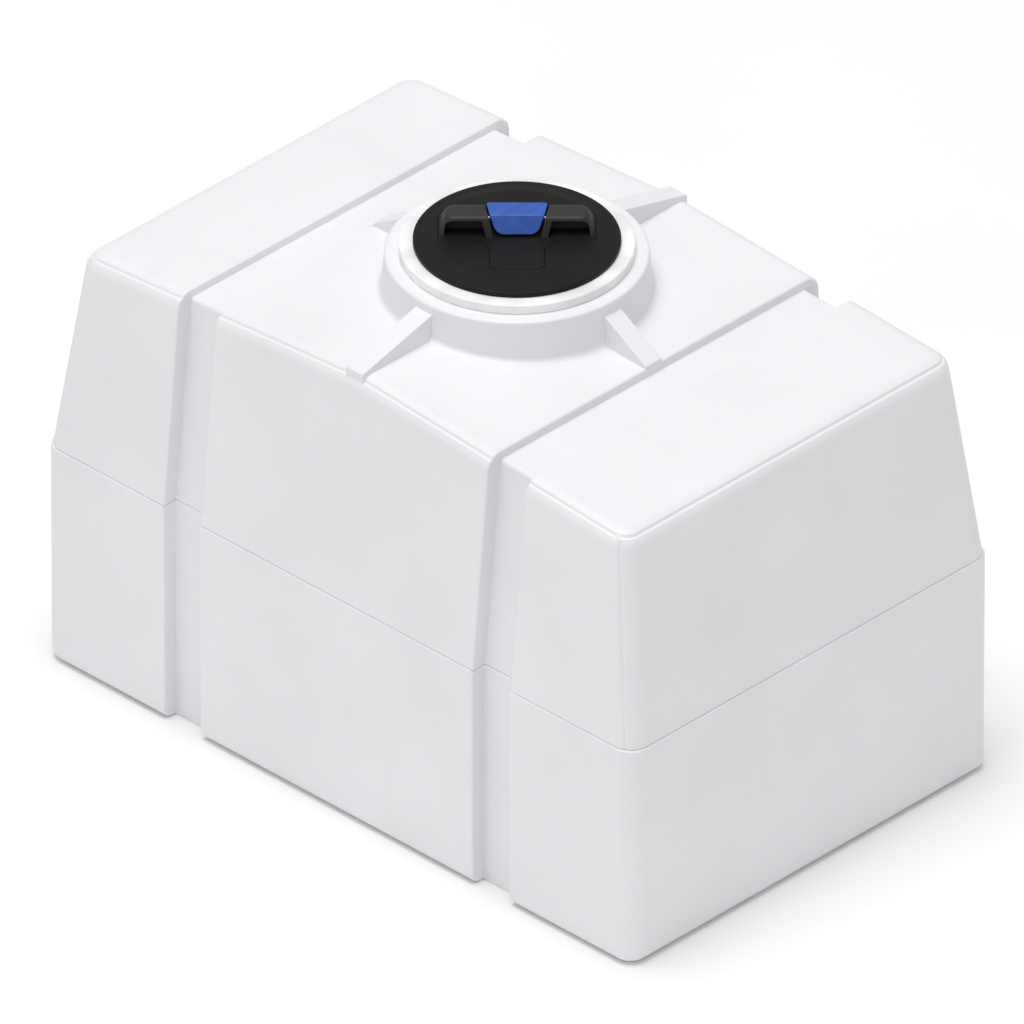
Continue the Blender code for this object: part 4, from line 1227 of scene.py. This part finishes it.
class WATERTANK_OT_spring(bpy.types.Operator):
    """Builds the bolt's spring as a fixed coil; it is not made to shorten as the bolt is drawn in"""

    bl_idname = "watertank.spring"
    bl_label = "Bolt Spring"

    def execute(self, context):
        lid = context.scene.lid_sizes
        coil_r, wire_r, start_y, end_y, turns, steps = 0.0040, 0.0007, 0.0172, 0.0368, 6, 24
        angles = [2 * pi * i / 10 for i in range(10)]
        points = [(coil_r + wire_r * cos(a), 0.0, wire_r * sin(a)) for a in angles]
        piece = trace("bolt_spring_coil", points)
        rise = (end_y - start_y - 2 * wire_r) / (turns * steps)
        with editing(piece):
            choose_all()
            bpy.ops.mesh.edge_face_add()
            for _ in range(turns * steps):
                bpy.ops.mesh.extrude_region_move(TRANSFORM_OT_translate={"value": (0.0, 0.0, rise)})
                bpy.ops.transform.rotate(
                    value=2 * pi / steps, orient_axis="Z", orient_type="GLOBAL",
                    center_override=(0.0, 0.0, 0.0),
                )
            close_up()
        piece.rotation_euler = (-pi / 2, 0.0, 0.0)
        piece.location = (0.0, start_y + wire_r, BOLT_Z)
        settle(piece)
        smooth(turn_to_lid(piece, lid.turn), radians(60))
        finish_piece(piece, "lid", "stainless_steel", "bolt_spring")
        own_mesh(piece)
        return {"FINISHED"}


# Outlet


def lay_along_x(piece, middle_x):
    """Lays an upright piece down along the tank's length, at the outlet's height."""
    piece.rotation_euler = (0.0, pi / 2, 0.0)
    piece.location = (middle_x, 0.0, OUTLET_Z)
    return settle(piece)


class WATERTANK_OT_outlet(bpy.types.Operator):
    """Builds the outlet: a threaded tube with its flange inside the wall, and its lock nut"""

    bl_idname = "watertank.outlet"
    bl_label = "Outlet"

    def execute(self, context):
        tube_r, bore_r, pitch, thread = 0.016, 0.010, 0.0023, 0.0010
        nut_r = 0.026
        length = OUTLET_HIGH.x - OUTLET_LOW.x
        flange_start = length - 0.005
        outline = [(bore_r, length, 0.0006), (tube_r, length)]
        for i in range(int((flange_start - 0.001) / pitch)):
            z = flange_start - i * pitch
            outline += [(tube_r, z - 0.0004), (tube_r - thread, z - pitch / 2)]
        outline += [(tube_r - thread, 0.0010), (tube_r - 0.0016, 0.0), (bore_r, 0.0, 0.0006)]
        body = turned("outlet_fitting", outline, 64)
        collar = add_rod("collar", (0, 0, flange_start), (0, 0, length), OUTLET_HIGH.y, 8)
        cut(collar, add_rod("collar_bore", (0, 0, 0), (0, 0, LONG), tube_r - 0.002, 64))
        with editing(collar):
            choose("edges", lambda edge: is_sharp(edge, True, radians(40))
                   and middle(edge).xy.length > tube_r)
            bevel(0.0008, 2)
        join(body, collar)
        lay_along_x(body, OUTLET_LOW.x)
        smooth(body)
        finish_piece(body, "tank", "lid_polypropylene", "outlet_body")
        thick = NUT_HIGH.x - NUT_LOW.x
        nut = add_rod("outlet_lock_nut", (0, 0, 0), (0, 0, thick), nut_r, 6)
        with editing(nut):
            choose_all()
            bevel(0.0012, 3)
        cut(nut, add_rod("nut_bore", (0, 0, -LONG), (0, 0, LONG), tube_r + GAP, 64))
        lay_along_x(nut, NUT_LOW.x)
        smooth(nut)
        finish_piece(nut, "tank", "lid_polypropylene", "outlet_nut")
        return {"FINISHED"}


# Finishes of the CAD nodes that stay


class WATERTANK_OT_finishes(bpy.types.Operator):
    """Gives every piece that stays as it is the finish of its material slot"""

    bl_idname = "watertank.finishes"
    bl_label = "Finishes"

    def execute(self, context):
        for row in frame["record"]["subparts"]:
            piece = frame["nodes"][row["node"]]
            piece.data.materials.clear()
            piece.data.materials.append(material(row["material_slot"]))
            activate(piece)
        return {"FINISHED"}


# Studio


def aim(thing, place, target):
    thing.location = place
    thing.rotation_euler = (Vector(target) - Vector(place)).to_track_quat("-Z", "Y").to_euler()


def add_softbox(name, place, target, size, power):
    bpy.ops.object.select_all(action="DESELECT")
    bpy.ops.object.light_add(type="AREA")
    lamp = bpy.context.object
    lamp.name = name
    lamp.data.shape = "DISK"
    lamp.data.size = size
    lamp.data.energy = power
    aim(lamp, place, target)
    return lamp


class WATERTANK_OT_studio(bpy.types.Operator):
    """Adds a pale floor, soft light from above and from the front, and a camera with a long lens"""

    bl_idname = "watertank.studio"
    bl_label = "Studio"

    def execute(self, context):
        scene = context.scene
        bpy.ops.object.select_all(action="DESELECT")
        bpy.ops.mesh.primitive_plane_add(size=60.0, location=(0.0, 0.0, SHELL_LOW.z - 0.0005))
        floor = bpy.context.object
        floor.name = "studio_floor"
        settle(floor)
        made, tree, shader, place = start_material("Matt painted floor", 0.9)
        grain = noise(tree, place, 400.0, 2.0)
        colour = from_hex(scene.tank_colours.floor)
        tint(tree, shader, grain, shade(colour, 0.99), shade(colour, 1.01))
        shader.inputs["Specular IOR Level"].default_value = 0.0
        floor.data.materials.append(made)

        world = bpy.data.worlds.new("studio_air")
        world.use_nodes = True
        air = world.node_tree.nodes["Background"]
        air.inputs["Color"].default_value = (1.0, 0.998, 1.0, 1.0)
        air.inputs["Strength"].default_value = 0.50
        scene.world = world
        middle_point = (CAD_LOW + CAD_HIGH) / 2
        add_softbox("top_softbox", (-0.2, -0.8, 8.4), middle_point, 5.5, 415.0)
        add_softbox("front_softbox", (1.1, -4.2, 2.6), middle_point, 2.4, 12.0)

        turn, rise, distance = radians(44.2), radians(33.05), 46.0
        view_width = 1.0273  # of the picture at the target
        back = Vector((sin(turn) * cos(rise), -cos(turn) * cos(rise), sin(rise)))
        target = Vector((-0.0791, 0.0742, 0.1666))
        bpy.ops.object.camera_add()
        camera = bpy.context.object
        camera.name = "studio_camera"
        camera.data.sensor_width = 36.0
        camera.data.lens = camera.data.sensor_width * distance / view_width
        camera.data.clip_end = 200.0
        aim(camera, target + back * distance, target)
        scene.camera = camera
        scene.view_settings.view_transform = "Standard"
        return {"FINISHED"}


class WATERTANK_PT_panel(bpy.types.Panel):
    """Lists the tank's pieces and the sizes and colours that can be changed"""

    bl_label = "Fresh Water Tank"
    bl_idname = "WATERTANK_PT_panel"
    bl_space_type = "VIEW_3D"
    bl_region_type = "UI"
    bl_category = "Water Tank"

    def draw(self, context):
        for group in SETTINGS:
            box = self.layout.box()
            for name in SETTINGS[group].__annotations__:
                box.prop(getattr(context.scene, group), name)
        for operator in OPERATORS:
            self.layout.operator(operator.bl_idname)


SETTINGS = {
    "tank_sizes": TankSizes,
    "groove_sizes": GrooveSizes,
    "neck_sizes": NeckSizes,
    "ring_sizes": RingSizes,
    "lid_sizes": LidSizes,
    "grip_sizes": GripSizes,
    "paddle_sizes": PaddleSizes,
    "tank_colours": Colours,
}
OPERATORS = (
    WATERTANK_OT_finishes, WATERTANK_OT_moulding, WATERTANK_OT_ring, WATERTANK_OT_cover,
    WATERTANK_OT_grip, WATERTANK_OT_paddle, WATERTANK_OT_spring, WATERTANK_OT_outlet,
    WATERTANK_OT_studio,
)


def register():
    for kind in (*SETTINGS.values(), *OPERATORS, WATERTANK_PT_panel):
        bpy.utils.register_class(kind)
    for name, kind in SETTINGS.items():
        setattr(bpy.types.Scene, name, bpy.props.PointerProperty(type=kind))


def unregister():
    for name in SETTINGS:
        delattr(bpy.types.Scene, name)
    for kind in (WATERTANK_PT_panel, *reversed(OPERATORS), *SETTINGS.values()):
        bpy.utils.unregister_class(kind)


def main():
    register()
    bpy.ops.watertank.finishes()
    bpy.ops.watertank.moulding()
    bpy.ops.watertank.ring()
    bpy.ops.watertank.cover()
    bpy.ops.watertank.grip()
    bpy.ops.watertank.paddle()
    bpy.ops.watertank.spring()
    bpy.ops.watertank.outlet()
    bpy.ops.watertank.studio()


if __name__ == "__main__":
    main()
